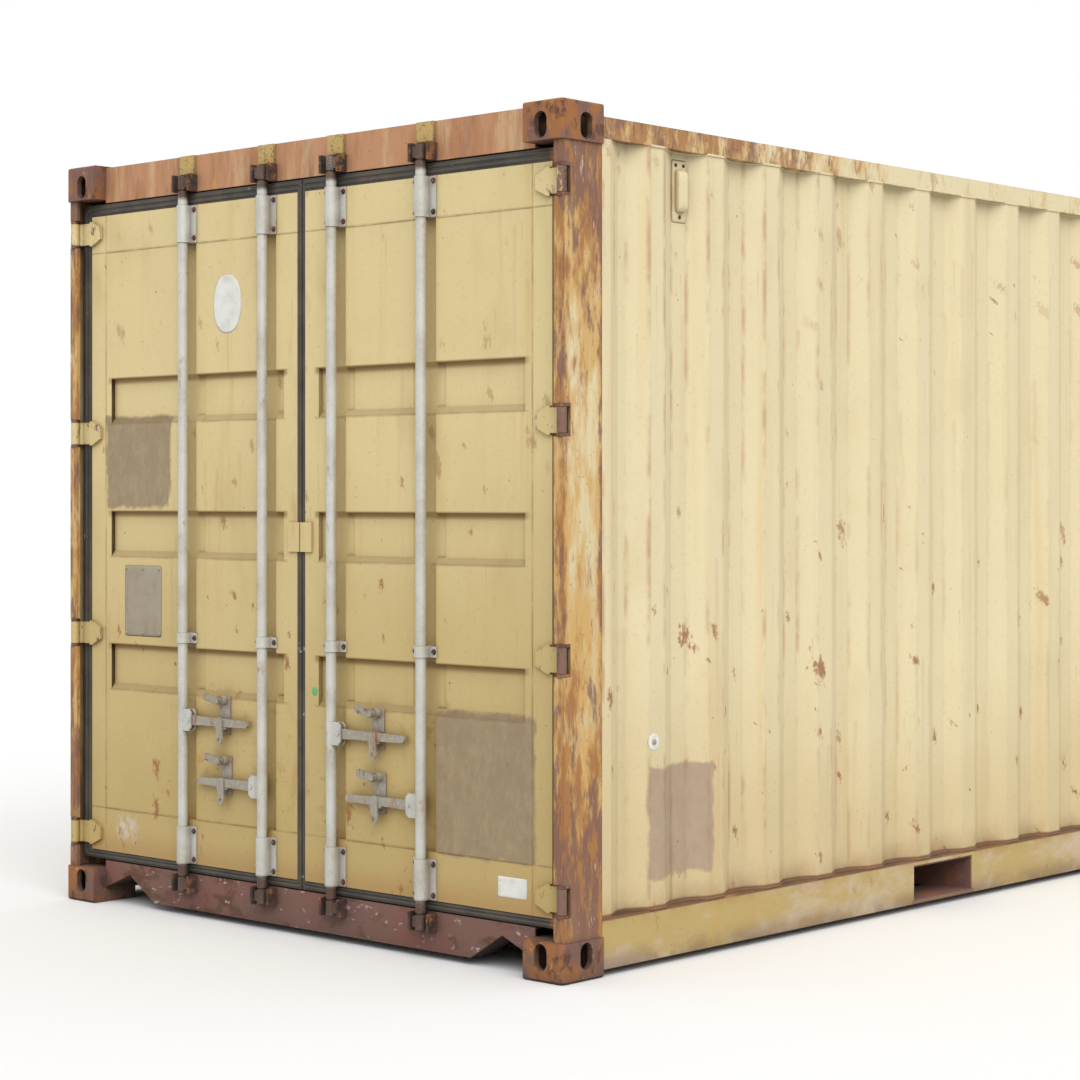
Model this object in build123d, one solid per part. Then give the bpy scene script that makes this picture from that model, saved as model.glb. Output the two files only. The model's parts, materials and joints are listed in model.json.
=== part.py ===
from build123d import *
import math
import os

# Twenty-foot dry cargo container, in millimetres.
# X runs along the length with the doors at the low end, Y across, Z up from the ground.
# Depths along the door end are given as distances d in from the door end's outermost plane.

# Whole box
LENGTH = 6058.0
WIDTH = 2438.0
HEIGHT = 2591.0

# Corner castings
CASTING_LENGTH = 178.0
CASTING_WIDTH = 162.0
CASTING_HEIGHT = 118.0
CASTING_WALL = 20.0
CASTING_BACK_WALL = 15.0
CASTING_PLATE = 28.0
CASTING_ROUND = 18.0
CASTING_EDGE = 8.0
SLOT_LENGTH = 124.5
SLOT_WIDTH = 63.5
SIDE_HOLE_HEIGHT = 79.5
SIDE_HOLE_WIDTH = 51.0
HOLE_RISE = 72.0
HOLE_FROM_END = 102.5
HOLE_FROM_SIDE = 89.5

# Rails along the sides; sheets and posts lie a little further in than the rails
SIDE_INSET = 6.0
SHEET_INSET = 1.0
TOP_RAIL_DROP = 36.0
TOP_RAIL_HEIGHT = 64.0
TOP_RAIL_WIDTH = 60.0
RAIL_WALL = 4.0
BOTTOM_RAIL_LOW = 20.0
BOTTOM_RAIL_HIGH = 172.0
BOTTOM_RAIL_FLANGE = 48.0
BOTTOM_RAIL_WALL = 5.0

# Floor and what carries it
FLOOR_HEIGHT = 180.0
FLOOR_BOARD = 28.0
FLOOR_BOARD_COUNT = 6
FLOOR_BOARD_GAP = 3.0
CROSS_MEMBER_HEIGHT = 120.0
CROSS_MEMBER_FLANGE = 45.0
CROSS_MEMBER_WALL = 4.0
CROSS_MEMBER_PITCH = 300.0
POCKET_WIDTH = 352.0
POCKET_SPACING = 2190.0
POCKET_WALL = 6.0
POCKET_LOW = 32.0
POCKET_STRAP_WIDTH = 180.0

# Pressed sheet walls: outer flat, slope, inner flat, slope
WALL_SHEET = 2.0
SIDE_OUTER_FLAT = 72.0
SIDE_INNER_FLAT = 70.0
SIDE_SLOPE = 68.0
SIDE_DEPTH = 36.0
SIDE_FIRST_FLAT = 388.0
FRONT_OUTER_FLAT = 110.0
FRONT_INNER_FLAT = 104.0
FRONT_SLOPE = 18.0
FRONT_DEPTH = 45.0
ROOF_FLAT = 91.0
ROOF_SLOPE = 13.5
ROOF_DEPTH = 18.0
ROOF_LAP = 40.0
ROOF_EDGE = 62.0

# Door end frame
POST_FACE = 13.0
POST_WALL = 12.0
POST_LIP = 41.0
POST_STOP = 104.0
POST_STOP_WIDTH = 44.0
POST_CHANNEL_WALL = 6.0
END_RAIL_FACE = 52.0
END_RAIL_DEPTH = 100.0
END_RAIL_WALL = 5.0
HEADER_HEIGHT = 123.0
HEADER_TOP_GAP = 6.0
HEADER_STOP = 24.0
SILL_LOW = 22.0
SILL_HIGH = 145.0
NOTCH_PEAK_IN = 138.0
NOTCH_WIDTH = 276.0
NOTCH_LINING = 8.0
NOTCH_PEAK_HIGH = 106.0
NOTCH_CASTING_HIGH = 50.0

# Door leaves
DOOR_FACE = 48.0
DOOR_THICKNESS = 50.0
DOOR_TOP_GAP = 46.0
DOOR_SIDE_GAP = 87.0
DOOR_CENTRE_GAP = 40.0
DOOR_TUBE_WALL = 4.0
HINGE_STILE = 82.0
LOCK_STILE = 60.0
DOOR_TOP_RAIL = 130.0
DOOR_BOTTOM_RAIL = 151.0
PANEL_SHEET = 2.0
DRAIN_HALF = 12.0
BAND_COUNT = 3
BAND_PITCH_SHARE = 0.208
BAND_LIFT = 7.0
BAND_LOCK_GAP = 6.0
BAND_HINGE_GAP = 30.0
BAND_HALF_HIGH = 67.0
BAND_DEPTH = 16.0
BAND_SLOPE_LOW = 22.0
BAND_SLOPE_HIGH = 4.0
CHANNEL_HALF_WIDE = 46.0
CHANNEL_HALF_NARROW = 26.0
CHANNEL_DEPTH = 24.0
CHANNEL_BAND_WIDE = 42.0
GASKET_FACE = 53.0
GASKET_THICKNESS = 22.0
GASKET_CENTRE_GAP = 6.0
GASKET_PIN_GAP = 6.0
GASKET_END_GAP = 5.0

# Hinges
HINGE_DEPTH = 22.0
HINGE_FROM_SIDE = 23.0
HINGE_COUNT = 4
HINGE_END = 60.0
HINGE_BARREL_R = 15.0
HINGE_PIN_R = 8.0
HINGE_BARREL_HIGH = 76.0
HINGE_LUG_HIGH = 10.0
HINGE_LUG_GAP = 1.0
HINGE_NOTCH_DEPTH = 42.0
BLADE_HIGH = 86.0
BLADE_THICK = 11.0
BLADE_REACH = 126.0
BLADE_TIP = 40.0
BLADE_POINT = 50.0
BLADE_LAP = 4.0
BLADE_SHOULDER = 20.0
BLADE_SHOULDER_STEP = 3.5
BLADE_ROOT_DEPTH = 10.0
BLADE_ROOT_OUT = 11.0
BLADE_BACK_OUT = 3.0
RUNNING_GAP = 0.1

# Lock gear
ROD_DEPTH = 27.0
ROD_R = 17.0
ROD_OUTER_SHIFT = 13.0
ROD_INNER_GAP = 151.5
ROD_SILL_LAP = 3.0
CAM_HIGH = 46.0
CAM_NECK = 5.0
CAM_ARM_INSET = 6.0
CAM_STUB = 6.0
CAM_ARM = 30.0
CAM_ARM_THICK = 16.0
KEEPER_CHEEK_GAP = 6.0
KEEPER_CHEEK = 10.0
KEEPER_PLATE = 6.0
KEEPER_HIGH = 58.0
KEEPER_FACE = 14.0
GUARD_HALF = 38.0
GUARD_THICK = 10.0
GUARD_GAP = 8.0
BRACKET_HIGH = 126.0
BRACKET_WIDE = 100.0
BRACKET_PLATE = 5.0
BRACKET_WALL = 4.0
BRACKET_END = 64.0
GUIDE_HIGH = 34.0
GUIDE_WIDE = 104.0
GUIDE_ABOVE_BAND = 107.0
HANDLE_BELOW_BAND = 169.0
HANDLE_STEP_SHARE = 0.09
HANDLE_TIP_GAP = 72.5
HANDLE_BAR = 28.0
HANDLE_TIP = 22.0
HANDLE_NECK = 70.0
HANDLE_THICK = 11.0
HANDLE_DEPTH = 27.0
HUB_REACH = 56.0
HUB_HALF_HIGH = 37.0
HUB_ROUND = 12.0
HUB_CHEEK = 6.0
HUB_GAP = 1.0
HUB_PIN_OUT = 44.0
HUB_PIN_R = 7.0
HUB_PIN_PROUD = 3.0
HANDLE_EYE_R = 17.0
HASP_FROM_TIP = 140.0
HASP_WIDE = 30.0
HASP_UP = 18.0
HASP_DOWN = 72.0
HASP_THICK = 5.0
HASP_HOLE_R = 7.0
RETAINER_PLATE = 5.0
RETAINER_WIDE = 54.0
RETAINER_UP = 88.0
RETAINER_DOWN = 40.0
SEAT_GAP = 1.0
SEAT_THICK = 6.0
SEAT_WIDE = 14.0
RIVET_UP = 74.0
RIVET_R = 6.0
RIVET_HEAD_R = 10.0
RIVET_HEAD = 3.0
CATCH_THICK = 4.0
CATCH_LENGTH = 62.0
CATCH_WIDE = 26.0
CATCH_ANGLE = 10.0
CATCH_FACE = 8.0

# Meeting plates over the gap between the leaves
MEETING_HALF_HIGH = 48.0
MEETING_DROP = 10.0
MEETING_REACH = 57.0
MEETING_THICK = 7.0
MEETING_GAP = 3.0

# Side vents in the first full recess
VENT_FROM_END = 563.0
VENT_WIDE = 68.0
VENT_TOP_GAP = 23.0
VENT_HEIGHT = 196.0
VENT_THICK = 26.0
VENT_HOOD = 22.0

# Overrun of cuts
CUT_PAST = 1.0

# Planes worked out from the sizes above
REAR = -LENGTH / 2
FRONT = LENGTH / 2
SIDE = WIDTH / 2
RAIL_SIDE = SIDE - SIDE_INSET
TOP_RAIL_HIGH = HEIGHT - TOP_RAIL_DROP
TOP_RAIL_LOW = TOP_RAIL_HIGH - TOP_RAIL_HEIGHT
CASTING_INNER_X = LENGTH / 2 - CASTING_LENGTH
CASTING_INNER_Y = SIDE - CASTING_WIDTH
POST_TOP = HEIGHT - CASTING_HEIGHT
HEADER_HIGH = HEIGHT - HEADER_TOP_GAP
FLOOR_LOW = FLOOR_HEIGHT - FLOOR_BOARD
CROSS_LOW = FLOOR_LOW - CROSS_MEMBER_HEIGHT
POST_SIDE = RAIL_SIDE - SHEET_INSET
END_RAIL_BACK = END_RAIL_FACE + END_RAIL_DEPTH
HEADER_LOW = HEADER_HIGH - HEADER_HEIGHT
DOOR_LOW = FLOOR_HEIGHT
DOOR_HIGH = HEADER_LOW - DOOR_TOP_GAP
DOOR_OUTER_EDGE = SIDE - DOOR_SIDE_GAP
HINGE_SIDE = SIDE - HINGE_FROM_SIDE
HINGE_X = REAR + HINGE_DEPTH
ROD_X = REAR + ROD_DEPTH
ROD_LOW = SILL_HIGH - ROD_SILL_LAP
ROD_HIGH = HEADER_LOW
DOOR_X = REAR + DOOR_FACE
DOOR_BACK = DOOR_X + DOOR_THICKNESS
LEAF_INNER = DOOR_CENTRE_GAP / 2
HINGE_NOTCH_HALF = HINGE_BARREL_HIGH / 2 + HINGE_LUG_GAP + HINGE_LUG_HIGH
HINGE_STEP = (DOOR_HIGH - DOOR_LOW - 2 * HINGE_END) / (HINGE_COUNT - 1)
HINGE_HEIGHTS = [DOOR_LOW + HINGE_END + HINGE_STEP * n for n in range(HINGE_COUNT)]
BAND_PITCH = round(BAND_PITCH_SHARE * (DOOR_HIGH - DOOR_LOW))
BAND_MIDDLE = (DOOR_LOW + DOOR_HIGH) / 2 + BAND_LIFT
BAND_HEIGHTS = [BAND_MIDDLE + BAND_PITCH * (n - (BAND_COUNT - 1) / 2) for n in range(BAND_COUNT)]
ROD_OUTER = (LEAF_INNER + DOOR_OUTER_EDGE) / 2 + ROD_OUTER_SHIFT
ROD_INNER = LEAF_INNER + ROD_INNER_GAP
BRACKET_TOP_MID = DOOR_HIGH - BRACKET_END
BRACKET_LOW_MID = DOOR_LOW + BRACKET_END
GUIDE_MID = BAND_HEIGHTS[0] + GUIDE_ABOVE_BAND
HANDLE_HIGH_Z = BAND_HEIGHTS[0] - HANDLE_BELOW_BAND
HANDLE_LOW_Z = HANDLE_HIGH_Z - round(HANDLE_STEP_SHARE * (DOOR_HIGH - DOOR_LOW))
HANDLE_LENGTH = ROD_OUTER - ROD_INNER - HANDLE_TIP_GAP
HASP_OUT = HANDLE_LENGTH - HASP_FROM_TIP
RODS = ((1, ROD_OUTER, HANDLE_HIGH_Z, -1), (1, ROD_INNER, HANDLE_LOW_Z, 1),
        (-1, ROD_INNER, HANDLE_HIGH_Z, 1), (-1, ROD_OUTER, HANDLE_LOW_Z, -1))


def box(x0, x1, y0, y1, z0, z1):
    """Box between two corners given in either order."""
    size = (abs(x1 - x0), abs(y1 - y0), abs(z1 - z0))
    middle = ((x0 + x1) / 2, (y0 + y1) / 2, (z0 + z1) / 2)
    return Pos(*middle) * Box(*size)


def prism(points, along):
    """Closed outline of 3-D points pushed along a vector."""
    face = make_face(Polyline(*points, close=True))
    push = Vector(*along)
    return extrude(face, amount=push.length, dir=push.normalized())


def upright(points, z0, z1):
    """Plan outline pushed from z0 to z1."""
    return prism([(x, y, z0) for x, y in points], (0, 0, z1 - z0))


def rod_z(x, y, radius, z0, z1):
    """Round bar standing on a plan point."""
    return Pos(x, y, (z0 + z1) / 2) * Cylinder(radius, z1 - z0)


def rod_x(y, z, radius, x0, x1):
    """Round bar along the length of the box."""
    return Pos((x0 + x1) / 2, y, z) * Rot(0, 90, 0) * Cylinder(radius, abs(x1 - x0))


def slot_z(x, y, length, width, z0, z1):
    """Stadium hole with its long side along X, standing on a plan point."""
    middle = box(x - (length - width) / 2, x + (length - width) / 2, y - width / 2, y + width / 2, z0, z1)
    ends = [rod_z(x + s * (length - width) / 2, y, width / 2, z0, z1) for s in (1, -1)]
    return middle + ends


def slot_through(across, x, y, z, reach):
    """Upright stadium hole through a wall that faces along X or Y."""
    straight = SIDE_HOLE_HEIGHT - SIDE_HOLE_WIDTH
    half = SIDE_HOLE_WIDTH / 2
    turn = Rot(0, 90, 0) if across == "x" else Rot(90, 0, 0)
    ends = [Pos(x, y, z + s * straight / 2) * turn * Cylinder(half, 2 * reach) for s in (1, -1)]
    if across == "x":
        return box(x - reach, x + reach, y - half, y + half, z - straight / 2, z + straight / 2) + ends
    return box(x - half, x + half, y - reach, y + reach, z - straight / 2, z + straight / 2) + ends


def save(shape, name):
    """Write one named piece."""
    export_step(shape, os.path.join("parts", name + ".step"))


def casting(sx, sy, top):
    """Hollow corner casting with a slot in its flat plate and oval holes in its two outer walls."""
    low = HEIGHT - CASTING_HEIGHT if top else 0.0
    high = low + CASTING_HEIGHT
    x_out = sx * LENGTH / 2
    y_out = sy * SIDE
    x_in = sx * CASTING_INNER_X
    y_in = sy * CASTING_INNER_Y
    body = box(x_out, x_in, y_out, y_in, low, high)
    corner = body.edges().filter_by(Axis.Z).sort_by(lambda e: sx * e.center().X + sy * e.center().Y)[-1]
    body = fillet(corner, CASTING_ROUND)
    plate_level = high if top else low
    rim = [e for e in body.edges() if abs(e.center().Z - plate_level) < CUT_PAST
           and max(sx * e.center().X - LENGTH / 2, sy * e.center().Y - SIDE) > -CASTING_EDGE]
    body = fillet(rim, CASTING_EDGE)
    hollow_low = low + (CASTING_BACK_WALL if top else CASTING_PLATE)
    hollow_high = high - (CASTING_PLATE if top else CASTING_BACK_WALL)
    hollow = box(x_out - sx * CASTING_WALL, x_in + sx * CASTING_BACK_WALL,
                 y_out - sy * CASTING_WALL, y_in + sy * CASTING_BACK_WALL, hollow_low, hollow_high)
    x_hole = x_out - sx * HOLE_FROM_END
    y_hole = y_out - sy * HOLE_FROM_SIDE
    plate_low = hollow_high - CUT_PAST if top else low - CUT_PAST
    plate_high = high + CUT_PAST if top else hollow_low + CUT_PAST
    z_hole = high - HOLE_RISE if top else low + HOLE_RISE
    body -= hollow
    body -= slot_z(x_hole, y_hole, SLOT_LENGTH, SLOT_WIDTH, plate_low, plate_high)
    body -= slot_through("x", x_out, y_hole, z_hole, CASTING_WALL + CUT_PAST)
    body -= slot_through("y", x_hole, y_out, z_hole, CASTING_WALL + CUT_PAST)
    return body


def castings(top):
    """Four castings of one level."""
    return Compound([casting(sx, sy, top) for sx in (-1, 1) for sy in (-1, 1)])


def pocket_centres():
    """Places along X of the two fork pockets."""
    return (-POCKET_SPACING / 2, POCKET_SPACING / 2)


def bottom_side_rail(side):
    """Pressed channel between castings, open inwards, with the fork pockets cut through its web."""
    y_web = side * RAIL_SIDE
    y_in = side * (RAIL_SIDE - BOTTOM_RAIL_WALL)
    y_flange = side * (RAIL_SIDE - BOTTOM_RAIL_FLANGE)
    x = CASTING_INNER_X
    rail = box(-x, x, y_web, y_in, BOTTOM_RAIL_LOW, BOTTOM_RAIL_HIGH)
    rail += box(-x, x, y_web, y_flange, BOTTOM_RAIL_HIGH - BOTTOM_RAIL_WALL, BOTTOM_RAIL_HIGH)
    rail += box(-x, x, y_web, y_flange, BOTTOM_RAIL_LOW, BOTTOM_RAIL_LOW + BOTTOM_RAIL_WALL)
    for centre in pocket_centres():
        half = POCKET_WIDTH / 2
        rail -= box(centre - half, centre + half, y_web + side * CUT_PAST, y_in - side * CUT_PAST,
                    POCKET_LOW, FLOOR_LOW)
    return rail


def pocket_tunnels():
    """Side plates, roof plate and end straps of the fork pockets."""
    pieces = []
    y = RAIL_SIDE - BOTTOM_RAIL_WALL
    low = BOTTOM_RAIL_LOW + BOTTOM_RAIL_WALL
    for centre in pocket_centres():
        half = POCKET_WIDTH / 2
        tunnel = box(centre - half - POCKET_WALL, centre + half + POCKET_WALL, -y, y, low, FLOOR_LOW)
        tunnel -= box(centre - half, centre + half, -y - CUT_PAST, y + CUT_PAST,
                      low - CUT_PAST, FLOOR_LOW - POCKET_WALL)
        for side in (-1, 1):
            tunnel += box(centre - half, centre + half, side * y, side * (y - POCKET_STRAP_WIDTH),
                          low, POCKET_LOW)
        pieces.append(tunnel)
    return Compound(pieces)


def cross_members():
    """Row of channels under the floor, left out where the fork pockets pass."""
    y = RAIL_SIDE - BOTTOM_RAIL_WALL
    first = CROSS_MEMBER_FLANGE - CASTING_INNER_X
    last = CASTING_INNER_X - 2 * CROSS_MEMBER_FLANGE
    count = int((last - first) // CROSS_MEMBER_PITCH) + 1
    clear = POCKET_WIDTH / 2 + POCKET_WALL + CROSS_MEMBER_FLANGE
    pieces = []
    for step in range(count):
        x = first + (last - first) * step / (count - 1)
        if min(abs(x - c) for c in pocket_centres()) < clear:
            continue
        member = box(x, x + CROSS_MEMBER_WALL, -y, y, CROSS_LOW, FLOOR_LOW)
        member += box(x, x + CROSS_MEMBER_FLANGE, -y, y, FLOOR_LOW - CROSS_MEMBER_WALL, FLOOR_LOW)
        member += box(x, x + CROSS_MEMBER_FLANGE, -y, y, CROSS_LOW, CROSS_LOW + CROSS_MEMBER_WALL)
        pieces.append(member)
    return Compound(pieces)


def floor_boards():
    """Plywood boards laid along the box from the sill to the front wall's foot."""
    x0 = REAR + END_RAIL_BACK
    x1 = FRONT - SIDE_INSET - FRONT_DEPTH - WALL_SHEET - FLOOR_BOARD_GAP
    half = RAIL_SIDE - BOTTOM_RAIL_FLANGE - FLOOR_BOARD_GAP
    pitch = 2 * half / FLOOR_BOARD_COUNT
    boards = []
    for step in range(FLOOR_BOARD_COUNT):
        y = -half + pitch * step
        boards.append(box(x0, x1, y, y + pitch - FLOOR_BOARD_GAP, FLOOR_LOW, FLOOR_HEIGHT))
    return Compound(boards)


def top_side_rail(side):
    """Square tube between the upper castings."""
    y0 = side * RAIL_SIDE
    y1 = side * (RAIL_SIDE - TOP_RAIL_WIDTH)
    x = CASTING_INNER_X
    w = RAIL_WALL
    tube = box(-x, x, y0, y1, TOP_RAIL_LOW, TOP_RAIL_HIGH)
    tube -= box(-x - CUT_PAST, x + CUT_PAST, y0 - side * w, y1 + side * w,
                TOP_RAIL_LOW + w, TOP_RAIL_HIGH - w)
    return tube


def fold_line(start, stop, outer, slope, inner, depth):
    """Corrugation as (place, depth) points from an outer flat at start to an outer flat at stop."""
    points = [(start, 0.0)]
    place = start + outer
    pitch = outer + 2 * slope + inner
    while place + 2 * slope + inner < stop:
        points += [(place, 0.0), (place + slope, depth)]
        points += [(place + slope + inner, depth), (place + 2 * slope + inner, 0.0)]
        place += pitch
    points.append((stop, 0.0))
    return points


def side_wall(side):
    """Upright corrugated sheet between the posts, with a narrow first recess at each end."""
    near = REAR + CASTING_LENGTH
    far = FRONT - CASTING_LENGTH
    narrow = 2 * SIDE_SLOPE + SIDE_INNER_FLAT / 2
    first = REAR + SIDE_FIRST_FLAT
    line = [(near, 0.0), (first - narrow, 0.0), (first - narrow + SIDE_SLOPE, SIDE_DEPTH),
            (first - SIDE_SLOPE, SIDE_DEPTH)]
    line += fold_line(first, far, SIDE_OUTER_FLAT, SIDE_SLOPE, SIDE_INNER_FLAT, SIDE_DEPTH)
    outside = [(x, side * (POST_SIDE - d)) for x, d in line]
    inside = [(x, y - side * WALL_SHEET) for x, y in reversed(outside)]
    return upright(outside + inside, BOTTOM_RAIL_HIGH, TOP_RAIL_LOW)


def front_wall():
    """Upright corrugated sheet between the front posts."""
    half = CASTING_INNER_Y
    line = fold_line(-half, half, FRONT_OUTER_FLAT, FRONT_SLOPE, FRONT_INNER_FLAT, FRONT_DEPTH)
    outside = [(FRONT - SIDE_INSET - d, y) for y, d in line]
    inside = [(x - WALL_SHEET, y) for x, y in reversed(outside)]
    return upright(outside + inside, SILL_HIGH, HEADER_LOW)


def roof():
    """Flat-edged sheet lying on the top rails and the headers, with troughs pressed down across the box."""
    x0 = REAR + END_RAIL_BACK - ROOF_LAP
    low = TOP_RAIL_HIGH
    top = low + WALL_SHEET
    y = RAIL_SIDE - TOP_RAIL_WIDTH / 2
    block = box(x0, -x0, -y, y, top - 2 * ROOF_DEPTH, top)
    wide = ROOF_FLAT + 2 * ROOF_SLOPE
    pitch = wide + ROOF_FLAT
    count = int((-2 * x0 - 2 * ROOF_EDGE - wide) // pitch) + 1
    lean = math.degrees(math.atan2(ROOF_SLOPE, ROOF_DEPTH))
    for step in range(count):
        x = pitch * (step - (count - 1) / 2)
        mouth = Pos(x, 0, top) * Rectangle(wide, 2 * (y - ROOF_EDGE))
        block -= extrude(mouth, amount=ROOF_DEPTH, dir=(0, 0, -1), taper=lean)
    sheet = block - Pos(0, 0, -WALL_SHEET) * block
    for sx in (-1, 1):
        for sy in (-1, 1):
            sheet -= box(sx * CASTING_INNER_X, sx * LENGTH, sy * CASTING_INNER_Y, sy * WIDTH,
                         low - CUT_PAST, HEIGHT)
    return sheet


def rear_post(side):
    """Hooked outer section, cut away at each hinge, with a channel behind it that stops the door."""
    y_out = side * POST_SIDE
    y_in = side * (POST_SIDE - POST_WALL)
    x0 = REAR + POST_FACE
    x_end = REAR + CASTING_LENGTH
    post = box(x0, x_end, y_out, y_in, CASTING_HEIGHT, POST_TOP)
    post += box(x0, x0 + POST_WALL, y_out, y_out - side * POST_LIP, CASTING_HEIGHT, POST_TOP)
    x_stop = REAR + POST_STOP
    y_stop = y_in - side * (POST_STOP_WIDTH - POST_WALL)
    w = POST_CHANNEL_WALL
    post += box(x_stop, x_end, y_in, y_stop, CASTING_HEIGHT, POST_TOP)
    post -= box(x_stop + w, x_end + CUT_PAST, y_in, y_stop + side * w,
                CASTING_HEIGHT - CUT_PAST, POST_TOP + CUT_PAST)
    for z in HINGE_HEIGHTS:
        post -= box(x0 - CUT_PAST, REAR + HINGE_NOTCH_DEPTH, y_out + side * CUT_PAST,
                    y_out - side * (POST_LIP + CUT_PAST),
                    z - HINGE_NOTCH_HALF, z + HINGE_NOTCH_HALF)
    return post


def front_post(side):
    """Pressed angle section at a front corner."""
    y_out = side * POST_SIDE
    x_out = FRONT - SIDE_INSET - SHEET_INSET
    x_in = FRONT - CASTING_LENGTH
    y_in = side * CASTING_INNER_Y
    w = POST_CHANNEL_WALL
    post = box(x_in, x_out, y_out, y_out - side * w, CASTING_HEIGHT, POST_TOP)
    post += box(x_out - w, x_out, y_out, y_in, CASTING_HEIGHT, POST_TOP)
    return post


def door_sill():
    """Rail under the doors with a lined lifting notch beside each casting and a stop for the leaves."""
    y = CASTING_INNER_Y
    x0 = REAR + END_RAIL_FACE
    x1 = REAR + END_RAIL_BACK
    w = END_RAIL_WALL
    sill = box(x0, x1, -y, y, SILL_LOW, SILL_HIGH)
    sill -= box(x0 + w, x1 - w, -y - CUT_PAST, y + CUT_PAST, SILL_LOW - CUT_PAST, SILL_HIGH - w)
    sill += box(REAR + POST_STOP, x1, -y, y, SILL_HIGH - w, FLOOR_HEIGHT)
    for side in (-1, 1):
        x = x0 - CUT_PAST
        foot = SILL_LOW - CUT_PAST
        notch = [(x, side * y, foot), (x, side * y, NOTCH_CASTING_HIGH),
                 (x, side * (y - NOTCH_PEAK_IN), NOTCH_PEAK_HIGH), (x, side * (y - NOTCH_WIDTH), foot)]
        lining = [(x0, side * y, SILL_LOW), (x0, side * y, NOTCH_CASTING_HIGH + NOTCH_LINING),
                  (x0, side * (y - NOTCH_PEAK_IN), NOTCH_PEAK_HIGH + NOTCH_LINING),
                  (x0, side * (y - NOTCH_WIDTH - NOTCH_LINING), SILL_LOW)]
        sill += prism(lining, (END_RAIL_DEPTH, 0, 0))
        sill -= prism(notch, (END_RAIL_DEPTH + 2 * CUT_PAST, 0, 0))
    return sill


def door_header():
    """Box rail over the doors with a stop behind the leaves."""
    y = CASTING_INNER_Y
    x0 = REAR + END_RAIL_FACE
    x1 = REAR + END_RAIL_BACK
    w = END_RAIL_WALL
    header = box(x0, x1, -y, y, HEADER_LOW, HEADER_HIGH)
    header -= box(x0 + w, x1 - w, -y - CUT_PAST, y + CUT_PAST, HEADER_LOW + w, TOP_RAIL_HIGH - w)
    header -= box(x1 - ROOF_LAP, x1 + CUT_PAST, -y - CUT_PAST, y + CUT_PAST, TOP_RAIL_HIGH, HEIGHT)
    header += box(REAR + POST_STOP, x1, -y, y, HEADER_LOW - HEADER_STOP, HEADER_LOW)
    return header


def front_sill():
    """Channel under the front wall."""
    y = CASTING_INNER_Y
    x0 = FRONT - SIDE_INSET
    x1 = FRONT - END_RAIL_BACK
    w = END_RAIL_WALL
    sill = box(x0, x1, -y, y, SILL_LOW, SILL_HIGH)
    sill -= box(x0 - w, x1 - CUT_PAST, -y - CUT_PAST, y + CUT_PAST, SILL_LOW + w, SILL_HIGH - w)
    sill += box(x1, x1 + w, -y, y, SILL_HIGH - w, FLOOR_LOW)
    return sill


def front_header():
    """Box rail over the front wall that carries the roof's front edge."""
    y = CASTING_INNER_Y
    x0 = FRONT - SIDE_INSET
    x1 = FRONT - END_RAIL_BACK
    w = END_RAIL_WALL
    header = box(x0, x1, -y, y, HEADER_LOW, HEADER_HIGH)
    header -= box(x0 - w, x1 + w, -y - CUT_PAST, y + CUT_PAST, HEADER_LOW + w, TOP_RAIL_HIGH - w)
    header -= box(x1 - CUT_PAST, x1 + ROOF_LAP, -y - CUT_PAST, y + CUT_PAST, TOP_RAIL_HIGH, HEIGHT)
    return header


def hinge_lugs():
    """Lugs above and below each hinge blade, with the pin fixed in them."""
    pieces = []
    for side in (-1, 1):
        y = side * HINGE_SIDE
        for z in HINGE_HEIGHTS:
            inner = HINGE_BARREL_HIGH / 2 + HINGE_LUG_GAP
            lug = rod_z(HINGE_X, y, HINGE_PIN_R, z - HINGE_NOTCH_HALF, z + HINGE_NOTCH_HALF)
            for up in (-1, 1):
                z0 = z + up * inner
                z1 = z + up * HINGE_NOTCH_HALF
                lug += rod_z(HINGE_X, y, HINGE_BARREL_R, min(z0, z1), max(z0, z1))
                lug += box(HINGE_X, REAR + HINGE_NOTCH_DEPTH, side * POST_SIDE, y, z0, z1)
            pieces.append(lug)
    return Compound(pieces)


def keepers():
    """Cam keepers on the header and the sill: a plate with a cheek each side of the cam; guards on the header."""
    pieces = []
    face = REAR + END_RAIL_FACE
    reach = CAM_ARM + KEEPER_CHEEK_GAP
    for side, place, _, _ in RODS:
        y = side * place
        for middle in (ROD_HIGH + CAM_STUB + CAM_HIGH / 2, ROD_LOW - CAM_STUB - CAM_HIGH / 2):
            low = middle - KEEPER_HIGH / 2
            keeper = box(face, face - KEEPER_PLATE, y - reach - KEEPER_CHEEK, y + reach + KEEPER_CHEEK,
                         low, low + KEEPER_HIGH)
            for s in (-1, 1):
                keeper += box(face, REAR + KEEPER_FACE, y + s * reach, y + s * (reach + KEEPER_CHEEK),
                              low, low + KEEPER_HIGH)
            if middle > ROD_HIGH:
                guard_low = ROD_HIGH + CAM_STUB + CAM_HIGH + GUARD_GAP
                keeper += box(face, face - KEEPER_PLATE, y - GUARD_HALF, y + GUARD_HALF, low, HEADER_HIGH)
                keeper += box(face, face - GUARD_THICK, y - GUARD_HALF, y + GUARD_HALF, guard_low, HEADER_HIGH)
            pieces.append(keeper)
    return Compound(pieces)


def vent_place(sx):
    """Middle of the wall's inner flat nearest to a vent's place at one end of the box."""
    pitch = SIDE_OUTER_FLAT + 2 * SIDE_SLOPE + SIDE_INNER_FLAT
    middle = REAR + SIDE_FIRST_FLAT + SIDE_OUTER_FLAT + SIDE_SLOPE + SIDE_INNER_FLAT / 2
    wanted = sx * (LENGTH / 2 - VENT_FROM_END)
    return middle + pitch * round((wanted - middle) / pitch)


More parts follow.
